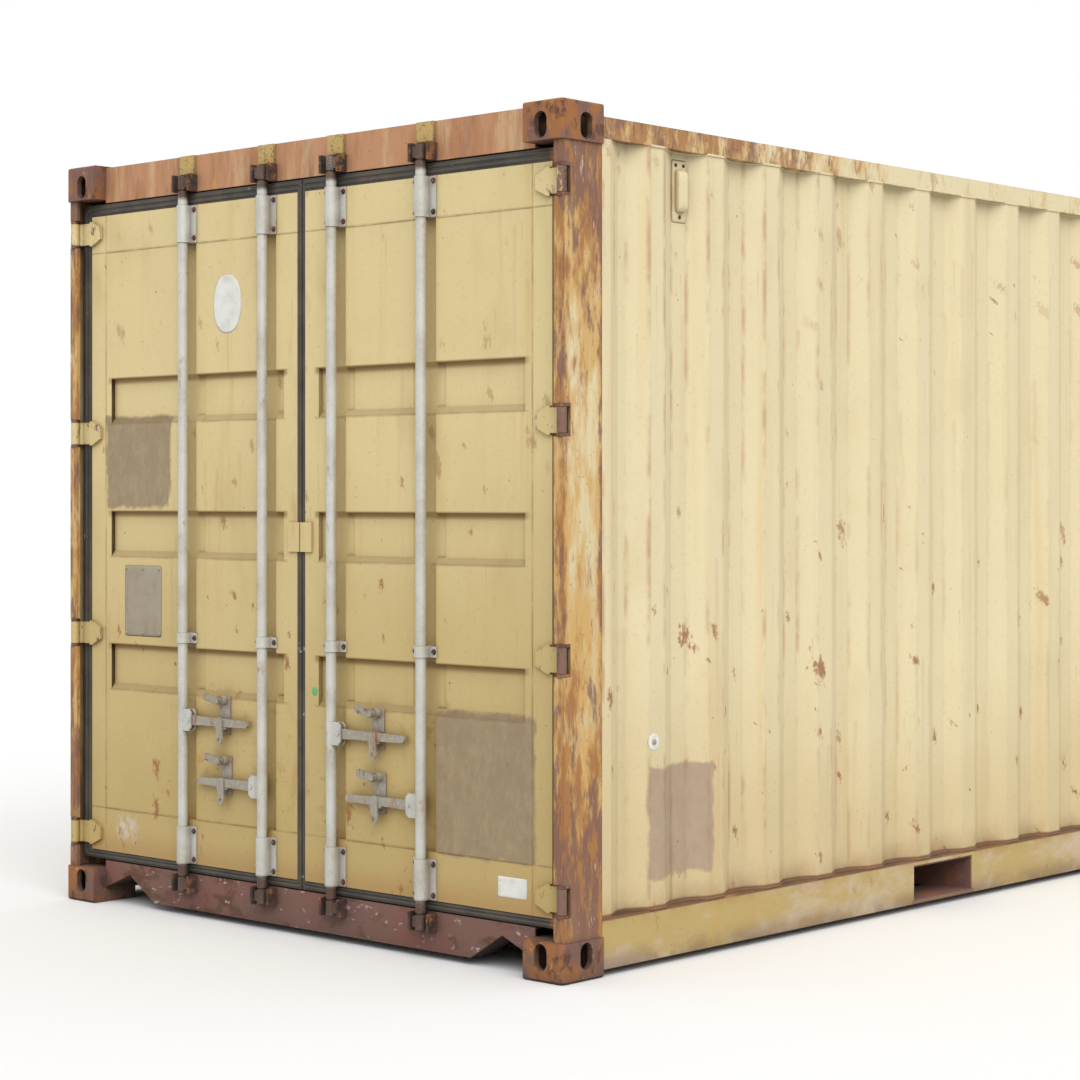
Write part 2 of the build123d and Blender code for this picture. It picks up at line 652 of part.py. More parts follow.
def vents():
    """Small hooded ventilator boxes in a recess of each side wall, at opposite ends."""
    pieces = []
    high = TOP_RAIL_LOW - VENT_TOP_GAP
    for side in (-1, 1):
        x = vent_place(side) - VENT_WIDE / 2
        y = side * (POST_SIDE - SIDE_DEPTH)
        front = y + side * VENT_THICK
        outline = [(x, y, high - VENT_HEIGHT), (x, front, high - VENT_HEIGHT + VENT_HOOD),
                   (x, front, high - VENT_HOOD), (x, y + side * VENT_THICK / 2, high), (x, y, high)]
        pieces.append(prism(outline, (VENT_WIDE, 0, 0)))
    return Compound(pieces)


def door_frame(side):
    """Tube frame of one leaf, hollow, with drain slots in its lower rail."""
    y0 = side * LEAF_INNER
    y1 = side * DOOR_OUTER_EDGE
    t = DOOR_TUBE_WALL
    frame = box(DOOR_X, DOOR_BACK, y0, y1, DOOR_LOW, DOOR_HIGH)
    x0 = DOOR_X - CUT_PAST
    x1 = DOOR_BACK + CUT_PAST
    lock = LEAF_INNER + LOCK_STILE
    hinge = DOOR_OUTER_EDGE - HINGE_STILE
    low = DOOR_LOW + DOOR_BOTTOM_RAIL
    high = DOOR_HIGH - DOOR_TOP_RAIL
    frame -= box(x0, x1, side * lock, side * hinge, low, high)
    hollow = box(DOOR_X + t, DOOR_BACK - t, y0 + side * t, y1 - side * t, DOOR_LOW + t, DOOR_HIGH - t)
    hollow -= box(x0, x1, side * (lock - t), side * (hinge + t), low - t, high + t)
    frame -= hollow
    for place in (LEAF_INNER + LOCK_STILE / 2, DOOR_OUTER_EDGE - HINGE_STILE / 2):
        frame -= box(DOOR_X + 3 * t, DOOR_BACK - 3 * t, side * (place - DRAIN_HALF),
                     side * (place + DRAIN_HALF), DOOR_LOW - CUT_PAST, DOOR_LOW + t + CUT_PAST)
    return frame


def channel(side, place, wide, z0, z1):
    """Trapezoid groove behind a rod, wide at the leaf's face and narrower at its floor."""
    slope = CHANNEL_HALF_WIDE - CHANNEL_HALF_NARROW
    outline = [(DOOR_X - CUT_PAST, side * (place - wide)), (DOOR_X, side * (place - wide)),
               (DOOR_X + CHANNEL_DEPTH, side * (place - wide + slope)),
               (DOOR_X + CHANNEL_DEPTH, side * (place + wide - slope)),
               (DOOR_X, side * (place + wide)), (DOOR_X - CUT_PAST, side * (place + wide))]
    return upright(outline, z0, z1)


def door_panel(side):
    """Pressed sheet of one leaf: upright channels behind the rods, wider where the level bands cross them."""
    y0 = LEAF_INNER + LOCK_STILE
    y1 = DOOR_OUTER_EDGE - HINGE_STILE
    z0 = DOOR_LOW + DOOR_BOTTOM_RAIL
    z1 = DOOR_HIGH - DOOR_TOP_RAIL
    block = box(DOOR_X, DOOR_BACK, side * y0, side * y1, z0, z1)
    band_start = side * (y0 + BAND_LOCK_GAP)
    band_width = side * (y1 - y0 - BAND_LOCK_GAP - BAND_HINGE_GAP)
    for z in BAND_HEIGHTS:
        low = z - BAND_HALF_HIGH
        high = z + BAND_HALF_HIGH
        outline = [(DOOR_X, band_start, low - BAND_SLOPE_LOW), (DOOR_X, band_start, high + BAND_SLOPE_HIGH),
                   (DOOR_X + BAND_DEPTH, band_start, high), (DOOR_X + BAND_DEPTH, band_start, low)]
        block -= prism(outline, (0, band_width, 0))
        block -= channel(side, ROD_OUTER, CHANNEL_HALF_WIDE + CHANNEL_BAND_WIDE, low, high)
        block -= channel(side, ROD_INNER, ROD_INNER - y0 - BAND_LOCK_GAP, low, high)
    for place in (ROD_OUTER, ROD_INNER):
        block -= channel(side, place, CHANNEL_HALF_WIDE, z0, z1)
    return block - Pos(PANEL_SHEET, 0, 0) * block


def door_gasket(side):
    """Rubber seal around one leaf."""
    x0 = REAR + GASKET_FACE
    x1 = x0 + GASKET_THICKNESS
    outer = box(x0, x1, side * GASKET_CENTRE_GAP / 2, side * (HINGE_SIDE - GASKET_PIN_GAP),
                SILL_HIGH + GASKET_END_GAP, HEADER_LOW - GASKET_END_GAP)
    return outer - box(x0 - CUT_PAST, x1 + CUT_PAST, side * LEAF_INNER, side * DOOR_OUTER_EDGE,
                       DOOR_LOW, DOOR_HIGH)


def hinge_blades(side):
    """Hinge blades of one leaf: a barrel on the pin and a cranked strap on the leaf's face."""
    front = DOOR_FACE - HINGE_DEPTH - BLADE_THICK
    back = DOOR_FACE - HINGE_DEPTH
    edge = HINGE_SIDE - DOOR_OUTER_EDGE
    crank = [(0.0, 0.0), (BLADE_ROOT_DEPTH, BLADE_ROOT_OUT), (front + BLADE_SHOULDER_STEP, BLADE_SHOULDER),
             (front, edge), (front, edge + BLADE_LAP), (back, edge + BLADE_LAP),
             (back, edge - BLADE_SHOULDER), (HINGE_BARREL_R - RUNNING_GAP, BLADE_BACK_OUT)]
    blades = []
    for z in HINGE_HEIGHTS:
        half = HINGE_BARREL_HIGH / 2
        plan = [(HINGE_X + d, side * (HINGE_SIDE - r)) for d, r in crank]
        blade = upright(plan, z - half, z + half)
        blade += rod_z(HINGE_X, side * HINGE_SIDE, HINGE_BARREL_R, z - half, z + half)
        y0 = side * (HINGE_SIDE - edge)
        y1 = side * (HINGE_SIDE - BLADE_REACH)
        y_step = y1 + side * BLADE_POINT
        tall = BLADE_HIGH / 2
        tip = BLADE_TIP / 2
        strap = [(HINGE_X + front, y0, z - tall), (HINGE_X + front, y_step, z - tall),
                 (HINGE_X + front, y1, z - tip), (HINGE_X + front, y1, z + tip),
                 (HINGE_X + front, y_step, z + tall), (HINGE_X + front, y0, z + tall)]
        blade += prism(strap, (BLADE_THICK, 0, 0))
        blade -= rod_z(HINGE_X, side * HINGE_SIDE, HINGE_PIN_R + RUNNING_GAP,
                       z - half - CUT_PAST, z + half + CUT_PAST)
        blades.append(blade)
    return Compound(blades)


def rod_cover(y, middle, high, wide):
    """Bracket around a rod: a flat plate on the leaf with a rounded cover over the rod."""
    x0 = DOOR_X - BRACKET_PLATE
    z0 = middle - high / 2
    z1 = middle + high / 2
    outer = ROD_R + RUNNING_GAP + BRACKET_WALL
    cover = box(x0, DOOR_X, y - wide / 2, y + wide / 2, z0, z1)
    cover += box(ROD_X, DOOR_X, y - outer, y + outer, z0, z1)
    cover += rod_z(ROD_X, y, outer, z0, z1)
    cover -= box(DOOR_X, DOOR_BACK, y - wide, y + wide, z0 - CUT_PAST, z1 + CUT_PAST)
    return cover - rod_z(ROD_X, y, ROD_R + RUNNING_GAP, z0 - CUT_PAST, z1 + CUT_PAST)


def rod_brackets(side):
    """Rod brackets and guides of one leaf."""
    pieces = []
    for rod_side, place, _, _ in RODS:
        if rod_side != side:
            continue
        y = side * place
        pieces.append(rod_cover(y, BRACKET_TOP_MID, BRACKET_HIGH, BRACKET_WIDE))
        pieces.append(rod_cover(y, BRACKET_LOW_MID, BRACKET_HIGH, BRACKET_WIDE))
        guide = rod_cover(y, GUIDE_MID, GUIDE_HIGH, GUIDE_WIDE)
        guide += box(DOOR_X, DOOR_X + CHANNEL_DEPTH, y - ROD_R, y + ROD_R,
                     GUIDE_MID - GUIDE_HIGH / 2, GUIDE_MID + GUIDE_HIGH / 2)
        pieces.append(guide)
    return Compound(pieces)


def hasp_y(side, place, toward):
    """Place across the box where a handle lies in its retainer."""
    return side * (place + toward * HASP_OUT)


def handle_retainers(side):
    """Plate behind each handle with a seat under it and the rivet that carries the catch."""
    pieces = []
    for rod_side, place, z, toward in RODS:
        if rod_side != side:
            continue
        y = hasp_y(side, place, toward)
        half = RETAINER_WIDE / 2
        piece = box(DOOR_X - RETAINER_PLATE, DOOR_X, y - half, y + half, z - RETAINER_DOWN, z + RETAINER_UP)
        front = REAR + HANDLE_DEPTH - HANDLE_THICK / 2
        rivet = z + RIVET_UP
        catch_back = REAR + CATCH_FACE + CATCH_THICK
        seat_top = z - HANDLE_BAR / 2 - SEAT_GAP
        for s in (-1, 1):
            piece += box(front, DOOR_X, y + s * half, y + s * (half - SEAT_WIDE),
                         seat_top - SEAT_THICK, seat_top)
        piece += rod_x(y, rivet, HASP_WIDE / 2, DOOR_X, front)
        piece += rod_x(y, rivet, RIVET_HEAD_R, DOOR_X, catch_back + SEAT_GAP)
        piece += rod_x(y, rivet, RIVET_R, DOOR_X, REAR + CATCH_FACE - SEAT_GAP - RIVET_HEAD)
        piece += rod_x(y, rivet, RIVET_HEAD_R, REAR + CATCH_FACE - SEAT_GAP,
                       REAR + CATCH_FACE - SEAT_GAP - RIVET_HEAD)
        pieces.append(piece)
    return Compound(pieces)


def meeting_plate(side):
    """Half of the plate that covers the gap between the leaves."""
    middle = BAND_MIDDLE - MEETING_DROP
    return box(DOOR_X - MEETING_THICK, DOOR_X, side * MEETING_GAP, side * MEETING_REACH,
               middle - MEETING_HALF_HIGH, middle + MEETING_HALF_HIGH)


def lock_rod(side, place, z, toward):
    """Lock rod with a cam at each end and the fork that holds its handle."""
    y = side * place
    turn = side * toward
    rod = rod_z(ROD_X, y, ROD_R, ROD_LOW, ROD_HIGH)
    for low, stub in ((ROD_HIGH + CAM_STUB, ROD_HIGH), (ROD_LOW - CAM_STUB - CAM_HIGH, ROD_LOW - CAM_STUB)):
        rod += rod_z(ROD_X, y, ROD_R - CAM_NECK, stub - CUT_PAST, stub + CAM_STUB + CUT_PAST)
        rod += rod_z(ROD_X, y, ROD_R, low, low + CAM_HIGH)
        rod += box(ROD_X - CAM_ARM_THICK / 2, ROD_X + CAM_ARM_THICK / 2, y, y + turn * CAM_ARM,
                   low + CAM_ARM_INSET, low + CAM_HIGH - CAM_ARM_INSET)
    half = HANDLE_THICK / 2 + HUB_GAP
    y_end = y + turn * HUB_REACH
    y_round = y_end - turn * HUB_ROUND
    for s in (-1, 1):
        x = ROD_X + s * half
        cheek = [(x, y, z - HUB_HALF_HIGH), (x, y_round, z - HUB_HALF_HIGH),
                 (x, y_end, z - HUB_HALF_HIGH + HUB_ROUND), (x, y_end, z + HUB_HALF_HIGH - HUB_ROUND),
                 (x, y_round, z + HUB_HALF_HIGH), (x, y, z + HUB_HALF_HIGH)]
        rod += prism(cheek, (s * HUB_CHEEK, 0, 0))
    rod += rod_x(y + turn * HUB_PIN_OUT, z, HUB_PIN_R, ROD_X - half - HUB_CHEEK - HUB_PIN_PROUD,
                 ROD_X + half + HUB_CHEEK)
    return rod


def handle(side, place, z, toward):
    """Lever with an eye on the fork's pin and a hasp plate across it."""
    turn = side * toward
    y_rod = side * place
    y_pin = y_rod + turn * HUB_PIN_OUT
    y_tip = y_rod + turn * HANDLE_LENGTH
    y_hasp = y_rod + turn * HASP_OUT
    x0 = REAR + HANDLE_DEPTH - HANDLE_THICK / 2
    x1 = x0 + HANDLE_THICK
    lever = rod_x(y_pin, z, HANDLE_EYE_R, x0, x1)
    neck = HANDLE_EYE_R
    bar = HANDLE_BAR / 2
    tip = HANDLE_TIP / 2
    y_neck = y_pin + turn * HANDLE_NECK
    y_end = y_tip - turn * tip
    outline = [(x0, y_pin, z - neck), (x0, y_neck, z - bar), (x0, y_hasp, z - bar), (x0, y_end, z - tip),
               (x0, y_end, z + tip), (x0, y_hasp, z + bar), (x0, y_neck, z + bar), (x0, y_pin, z + neck)]
    lever += prism(outline, (HANDLE_THICK, 0, 0))
    lever += rod_x(y_end, z, tip, x0, x1)
    half = HASP_WIDE / 2
    lever += box(x0, x0 - HASP_THICK, y_hasp - half, y_hasp + half, z - HASP_DOWN + half, z + HASP_UP - half)
    for level in (z - HASP_DOWN + half, z + HASP_UP - half):
        lever += rod_x(y_hasp, level, half, x0, x0 - HASP_THICK)
    lever -= rod_x(y_hasp, z - HASP_DOWN + half, HASP_HOLE_R,
                   x0 + CUT_PAST, x0 - HASP_THICK - CUT_PAST)
    lever -= rod_x(y_pin, z, HUB_PIN_R + RUNNING_GAP, x0 - CUT_PAST, x1 + CUT_PAST)
    return lever


def catch(side, place, z, toward):
    """Swinging catch on the retainer's rivet, hanging off to one side."""
    y = hasp_y(side, place, toward)
    x0 = REAR + CATCH_FACE
    x1 = x0 + CATCH_THICK
    lean = math.radians(CATCH_ANGLE)
    tip_y = y + CATCH_LENGTH * math.cos(lean)
    tip_z = z + RIVET_UP + CATCH_LENGTH * math.sin(lean)
    half = CATCH_WIDE / 2
    side_y = half * math.sin(lean)
    side_z = half * math.cos(lean)
    centre_z = z + RIVET_UP
    outline = [(x0, y - side_y, centre_z + side_z), (x0, y + side_y, centre_z - side_z),
               (x0, tip_y + side_y, tip_z - side_z), (x0, tip_y - side_y, tip_z + side_z)]
    plate = prism(outline, (CATCH_THICK, 0, 0))
    plate += rod_x(y, centre_z, half, x0, x1)
    plate += rod_x(tip_y, tip_z, half, x0, x1)
    return plate - rod_x(y, centre_z, RIVET_R + RUNNING_GAP, x0 - CUT_PAST, x1 + CUT_PAST)


os.makedirs("parts", exist_ok=True)
save(castings(False), "corner_castings_bottom")
save(castings(True), "corner_castings_top")
save(Compound([bottom_side_rail(s) for s in (-1, 1)]), "bottom_side_rails")
save(pocket_tunnels(), "fork_pockets")
save(cross_members(), "cross_members")
save(floor_boards(), "floor_boards")
save(Compound([top_side_rail(s) for s in (-1, 1)]), "top_side_rails")
save(side_wall(1), "side_wall_left")
save(side_wall(-1), "side_wall_right")
save(front_wall(), "front_wall")
save(roof(), "roof")
save(Compound([rear_post(s) for s in (-1, 1)]), "rear_posts")
save(Compound([front_post(s) for s in (-1, 1)]), "front_posts")
save(door_sill(), "door_sill")
save(door_header(), "door_header")
save(front_sill(), "front_sill")
save(front_header(), "front_header")
save(hinge_lugs(), "hinge_lugs")
save(keepers(), "cam_keepers")
save(vents(), "vents")
for leaf_side, leaf in ((1, "left_door"), (-1, "right_door")):
    save(door_frame(leaf_side), leaf + "_frame")
    save(door_panel(leaf_side), leaf + "_panel")
    save(door_gasket(leaf_side), leaf + "_gasket")
    save(hinge_blades(leaf_side), leaf + "_hinges")
    save(rod_brackets(leaf_side), leaf + "_rod_brackets")
    save(handle_retainers(leaf_side), leaf + "_handle_retainers")
    save(meeting_plate(leaf_side), leaf + "_meeting_plate")
for number, gear in enumerate(RODS, start=1):
    save(lock_rod(*gear), f"lock_rod_{number}")
    save(handle(*gear), f"handle_{number}")
    save(catch(*gear), f"catch_{number}")
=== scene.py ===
"""Dressing for a twenty-foot cargo container: worn paint, rust, seals, bolts, welds, plates and a studio."""
import json
import math
from types import SimpleNamespace

import bmesh
import bpy
import numpy as np
from bpy.props import FloatProperty, FloatVectorProperty, PointerProperty
from bpy.types import Operator, Panel, PropertyGroup
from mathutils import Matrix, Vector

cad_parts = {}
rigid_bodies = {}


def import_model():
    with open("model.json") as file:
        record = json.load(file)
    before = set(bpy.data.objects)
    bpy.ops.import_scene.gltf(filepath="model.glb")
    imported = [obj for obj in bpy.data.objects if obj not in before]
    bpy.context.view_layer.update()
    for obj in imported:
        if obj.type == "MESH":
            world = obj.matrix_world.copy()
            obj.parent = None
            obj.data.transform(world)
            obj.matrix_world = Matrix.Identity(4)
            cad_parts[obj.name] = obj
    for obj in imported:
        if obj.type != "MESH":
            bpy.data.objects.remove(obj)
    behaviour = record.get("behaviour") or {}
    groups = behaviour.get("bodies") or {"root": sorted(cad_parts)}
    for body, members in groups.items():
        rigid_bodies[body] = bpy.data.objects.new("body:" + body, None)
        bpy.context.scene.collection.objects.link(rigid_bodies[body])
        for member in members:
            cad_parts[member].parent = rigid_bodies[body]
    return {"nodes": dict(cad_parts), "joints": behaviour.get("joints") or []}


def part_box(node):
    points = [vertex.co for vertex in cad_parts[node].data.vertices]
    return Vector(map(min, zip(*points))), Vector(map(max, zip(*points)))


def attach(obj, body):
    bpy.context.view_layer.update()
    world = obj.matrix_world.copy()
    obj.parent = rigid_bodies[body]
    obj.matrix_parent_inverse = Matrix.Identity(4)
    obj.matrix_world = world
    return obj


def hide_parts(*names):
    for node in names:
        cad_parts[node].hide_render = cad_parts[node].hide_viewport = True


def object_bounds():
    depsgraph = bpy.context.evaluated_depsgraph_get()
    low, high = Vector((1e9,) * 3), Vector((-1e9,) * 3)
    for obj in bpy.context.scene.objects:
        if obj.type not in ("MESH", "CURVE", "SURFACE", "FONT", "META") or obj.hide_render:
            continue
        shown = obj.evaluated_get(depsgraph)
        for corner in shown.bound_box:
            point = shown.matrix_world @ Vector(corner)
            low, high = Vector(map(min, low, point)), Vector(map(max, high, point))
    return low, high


bl_info = {
    "name": "Cargo container dressing",
    "version": (1, 0, 0),
    "blender": (4, 5, 0),
    "location": "3D View > Sidebar > Container",
    "description": "Paints and details the packed container and sets its studio",
    "category": "Object",
}

for stray in list(bpy.data.objects):
    bpy.data.objects.remove(stray)
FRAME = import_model()
NODES = FRAME["nodes"]
CAD_BOX = [list(corner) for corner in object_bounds()]

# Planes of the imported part, in metres
REAR = CAD_BOX[0][0]
FRONT = CAD_BOX[1][0]
LEAF_LOW, LEAF_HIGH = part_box("left_door_frame")
DOOR_FACE = LEAF_LOW.x
SEAL_LOW, SEAL_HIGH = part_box("left_door_gasket")
PANEL_LOW, PANEL_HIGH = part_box("left_door_panel")
WALL_LOW, WALL_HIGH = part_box("side_wall_left")
FLOOR_LOW, FLOOR_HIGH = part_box("floor_boards")
RAIL_LOW, RAIL_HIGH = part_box("bottom_side_rails")
VENT_LOW, VENT_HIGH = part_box("vents")
BEAM_LOW, BEAM_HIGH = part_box("cross_members")
HEADER_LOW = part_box("door_header")[0]
SILL_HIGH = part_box("door_sill")[1]
TOP_RAIL_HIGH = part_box("top_side_rails")[1]
ROOF_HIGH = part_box("roof")[1]
POST_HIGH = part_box("rear_posts")[1]
POCKET_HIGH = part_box("fork_pockets")[1]
RODS = [j["pos_m"] for j in FRAME["joints"] if j["name"].startswith("lock_rod")]

# Fold lines of the side walls, from the door end
FOLD_START = REAR + 0.388
FOLD_OUTER = 0.072
FOLD_SLOPE = 0.068
FOLD_INNER = 0.070
FOLD_PITCH = FOLD_OUTER + 2 * FOLD_SLOPE + FOLD_INNER
FOLD_DEPTH = 0.036

# Heights of the rod brackets and guides, their plates and bolts, and half of the rod channels' width
BRACKET_HEIGHTS = (LEAF_HIGH.z - 0.064, LEAF_LOW.z + 0.064)
BRACKET_PLATE = 0.005
BRACKET_BOLT_Y = 0.040
BRACKET_BOLT_Z = 0.048
GUIDE_HEIGHT = 0.947
GUIDE_BOLT_Y = 0.042
ROD_CHANNEL = 0.050

# Heights of the leaves' three recessed bands, half of a band and its slope at the foot
BAND_PITCH = 0.208 * (LEAF_HIGH.z - LEAF_LOW.z)
BAND_MIDDLE = (LEAF_LOW.z + LEAF_HIGH.z) / 2 + 0.007
BAND_HALF = 0.067
BAND_SLOPE = 0.022

# Height at which the guards above the upper keepers start
GUARD_FOOT = 2.521

# Place along y beyond which a hinge is its bare barrel
BARREL_EDGE = 1.176

# Fork pockets: half width, how far a middle is from the box's middle, and the top of the straps below
POCKET_HALF = 0.182
POCKET_MIDDLE = POCKET_HIGH.x - POCKET_HALF
STRAP_TOP = 0.032

# How far a ventilator stands out of the recess it sits in, its flange, the hood's share of it and its bolts
VENT_PROUD = 0.026
VENT_FLANGE = 0.005
VENT_HOOD = 0.68
VENT_BOLT = 0.018

# Length of a weld's ripple, and the step along a bead
WELD_RIPPLE = 0.012
WELD_STEP = 0.006

# Height of the lashing rings above the floor, thickness of their bars, and the floor's screws
RING_RISE = 0.05
RING_BAR = 0.005
SCREW_ROWS = 13
SCREW_BEAMS = 16
SCREW_EDGE = 0.06

# Rolled patches and scuffs: first and last place along the sheet, then foot and top
WALL_PATCHES = ((REAR + 0.385, REAR + 0.688, 0.262, 0.600),)
DOOR_PATCHES = {"left_door": ((0.687, 1.044, 1.389, 1.705),), "right_door": ((-1.060, -0.617, 0.331, 0.767),)}
DOOR_SCUFFS = {"left_door": ((0.880, 0.985, 0.230, 0.310),), "right_door": ()}

# Studio: softness and turn of the sun, the floor's tone to light and to the camera, and where it fades out
SUN_SOFT = math.radians(50.0)
SUN_TURN = (math.radians(46.0), 0.0, math.radians(-37.0))
WHITE = (1.0, 1.0, 1.0, 1.0)
FLOOR_TONE = (0.50, 0.50, 0.50, 1.0)
FLOOR_SEEN = (0.90, 0.90, 0.90, 1.0)
FLOOR_REACH = 60.0
FLOOR_FADE = (30.0, 22.0)

# Directions, and the leaves with the side that each is on
OUT_OF_DOOR = (-1.0, 0.0, 0.0)
ALONG_Y = (0.0, 1.0, 0.0)
ALONG_X = (1.0, 0.0, 0.0)
UP = (0.0, 0.0, 1.0)
LEAVES = (("left_door", 1.0), ("right_door", -1.0))


def linear(colour):
    """Display colour to light: the sRGB curve undone."""
    c = np.asarray(colour[:3], float)
    light = np.where(c <= 0.04045, c / 12.92, ((c + 0.055) / 1.055) ** 2.4)
    return (*light.tolist(), 1.0)


def shade(name, description, default):
    """A colour that a user would change, kept as it shows on a screen."""
    return FloatVectorProperty(name=name, description=description, default=default, size=3,
                               subtype="COLOR_GAMMA", min=0.0, max=1.0)


def length_prop(name, description, default):
    """A size in metres that a user would change."""
    return FloatProperty(name=name, description=description, default=default, min=0.0, unit="LENGTH")


def share_prop(name, description, default):
    """An amount from none to full."""
    return FloatProperty(name=name, description=description, default=default, min=0.0, max=1.0,
                         subtype="FACTOR")


class ContainerColours(PropertyGroup):
    """Colours of the finishes."""
    door: shade("Door paint", "Paint of the leaves", (0.905, 0.825, 0.605))
    door_low: shade("Door foot", "Weathered paint at the foot of the leaves", (0.775, 0.675, 0.435))
    wall: shade("Wall paint", "Paint of the side and front walls", (0.925, 0.865, 0.700))
    wall_low: shade("Wall foot", "Weathered paint at the foot of the walls", (0.86, 0.78, 0.60))
    header: shade("Header paint", "Primer of the header", (0.78, 0.57, 0.42))
    sill: shade("Sill paint", "Primer of the sill", (0.53, 0.35, 0.31))
    guard: shade("Guard paint", "Paint of the guards above the keepers", (0.82, 0.70, 0.44))
    rust: shade("Rust", "Fresh rust", (0.65, 0.425, 0.24))
    old_rust: shade("Old rust", "Dark rust", (0.40, 0.27, 0.20))
    mauve: shade("Mauve", "Bare steel with a purple bloom", (0.50, 0.37, 0.33))
    ochre: shade("Ochre", "Rust-stained paint", (0.84, 0.65, 0.34))
    scrape: shade("Scrape", "Bare scraped primer", (0.87, 0.80, 0.75))
    # Grime is real dirt and also the tint of painted shade in corners, creases and on upward-facing faces of
    # the leaves.
    grime: shade("Grime", "Dirt in corners", (0.36, 0.27, 0.17))
    # Stain is painted shadow and shade: the brown under the top edges of the leaves' bands, the lines at
    # their feet and the leaves' darkened corners.
    stain: shade("Stain", "Brown stain under the edges of the bands", (0.53, 0.39, 0.17))
    wall_patch: shade("Wall patch", "Paint rolled over old markings on the wall", (0.70, 0.61, 0.52))
    patch: shade("Patch", "Paint rolled over old markings", (0.61, 0.53, 0.42))
    zinc: shade("Zinc", "Galvanised rods and brackets", (0.83, 0.835, 0.805))
    handle: shade("Handle zinc", "Handled zinc of the handles and catches", (0.66, 0.635, 0.575))
    rubber: shade("Rubber", "Door seals", (0.27, 0.26, 0.24))
    ply: shade("Plywood", "Floor boards", (0.45, 0.31, 0.20))
    # Underseal is also the tint of painted shade in the hollows of rusted steel and on the top of the bottom
    # rail's rim.
    under: shade("Underseal", "Coating under the floor", (0.22, 0.19, 0.17))
    label: shade("Label", "Blank labels", (0.94, 0.94, 0.91))
    dot: shade("Dot", "Small round sticker", (0.42, 0.74, 0.45))
    plate: shade("Plate", "Bare riveted plate", (0.66, 0.62, 0.54))


class ContainerSizes(PropertyGroup):
    """Sizes of the small pieces."""
    bolt: length_prop("Bolt", "Half width of a bolt head", 0.0065)
    rivet: length_prop("Rivet", "Radius of a rivet head", 0.006)
    weld: length_prop("Weld", "Half width of a weld bead", 0.0045)
    lip: length_prop("Seal lip", "Half width of a lip on the door seals", 0.0055)
    ring: length_prop("Ring", "Radius of a lashing ring", 0.030)
    vent: length_prop("Vent", "Half width of a ventilator", 0.034)


class ContainerWear(PropertyGroup):
    """Amounts of wear."""
    rust: share_prop("Rust", "Rust spots and runs on the paint", 0.75)
    # Grime scales the weathering streaks and clouds, the fine dirt and the painted shade in corners.
    grime: share_prop("Grime", "Dirt in corners and at the foot", 0.6)


class ContainerStage(PropertyGroup):
    """Camera and light."""
    lens: FloatProperty(name="Lens", description="Focal length in millimetres", default=82.76, min=1.0)
    eye: FloatVectorProperty(name="Camera", description="Place of the camera", subtype="TRANSLATION",
                             default=(-8.259, -6.230, 1.420), unit="LENGTH")
    heading: FloatProperty(name="Heading", description="Turn of the camera about the upright",
                           default=math.radians(-49.271), subtype="ANGLE", unit="ROTATION")
    shift: FloatVectorProperty(name="Shift", description="Shift of the picture", size=2,
                               default=(-0.143, -0.0384))
    key: FloatProperty(name="Key", description="Strength of the soft sun", default=1.5, min=0.0)
    sky: FloatProperty(name="Sky", description="Strength of the studio's even light", default=0.80, min=0.0)


def sums(operation, last=False):
    """A method that adds a Math node, with its own value first, or last."""
    def method(self, *rest):
        values = (*rest, self) if last else (self, *rest)
        return self.maker.node("ShaderNodeMath", {"operation": operation}, dict(enumerate(values)))
    return method


class Socket:
    """One output of a node. Sums on it add Math nodes to its tree."""

    def __init__(self, maker, out):
        self.maker = maker
        self.out = out

    def outputs(self):
        """All outputs of the node behind this one."""
        return [Socket(self.maker, out) for out in self.out.node.outputs]

    __add__ = __radd__ = sums("ADD")
    __sub__ = sums("SUBTRACT")
    __rsub__ = sums("SUBTRACT", True)
    __mul__ = __rmul__ = sums("MULTIPLY")
    __truediv__ = sums("DIVIDE")
    __rpow__ = sums("POWER", True)
    __abs__ = sums("ABSOLUTE")
    __gt__ = sums("GREATER_THAN")
    __or__ = sums("MAXIMUM")
    __and__ = sums("MINIMUM")
    __mod__ = sums("MODULO")
    floor = sums("FLOOR")
    fract = sums("FRACT")
    root = sums("SQRT")


class NodeMaker:
    """A node tree with one method that makes any node."""

    def __init__(self, tree):
        self.tree = tree
        tree.nodes.clear()

    def node(self, kind, settings=None, inputs=None, out=0):
        """Node of a kind: its settings first, then the values or links of its sockets."""
        made = self.tree.nodes.new(kind)
        for key, value in (settings or {}).items():
            setattr(made, key, value)
        for key, value in (inputs or {}).items():
            if isinstance(value, Socket):
                self.tree.links.new(value.out, made.inputs[key])
            else:
                made.inputs[key].default_value = value
        if made.outputs:
            return Socket(self, made.outputs[out])
        return made


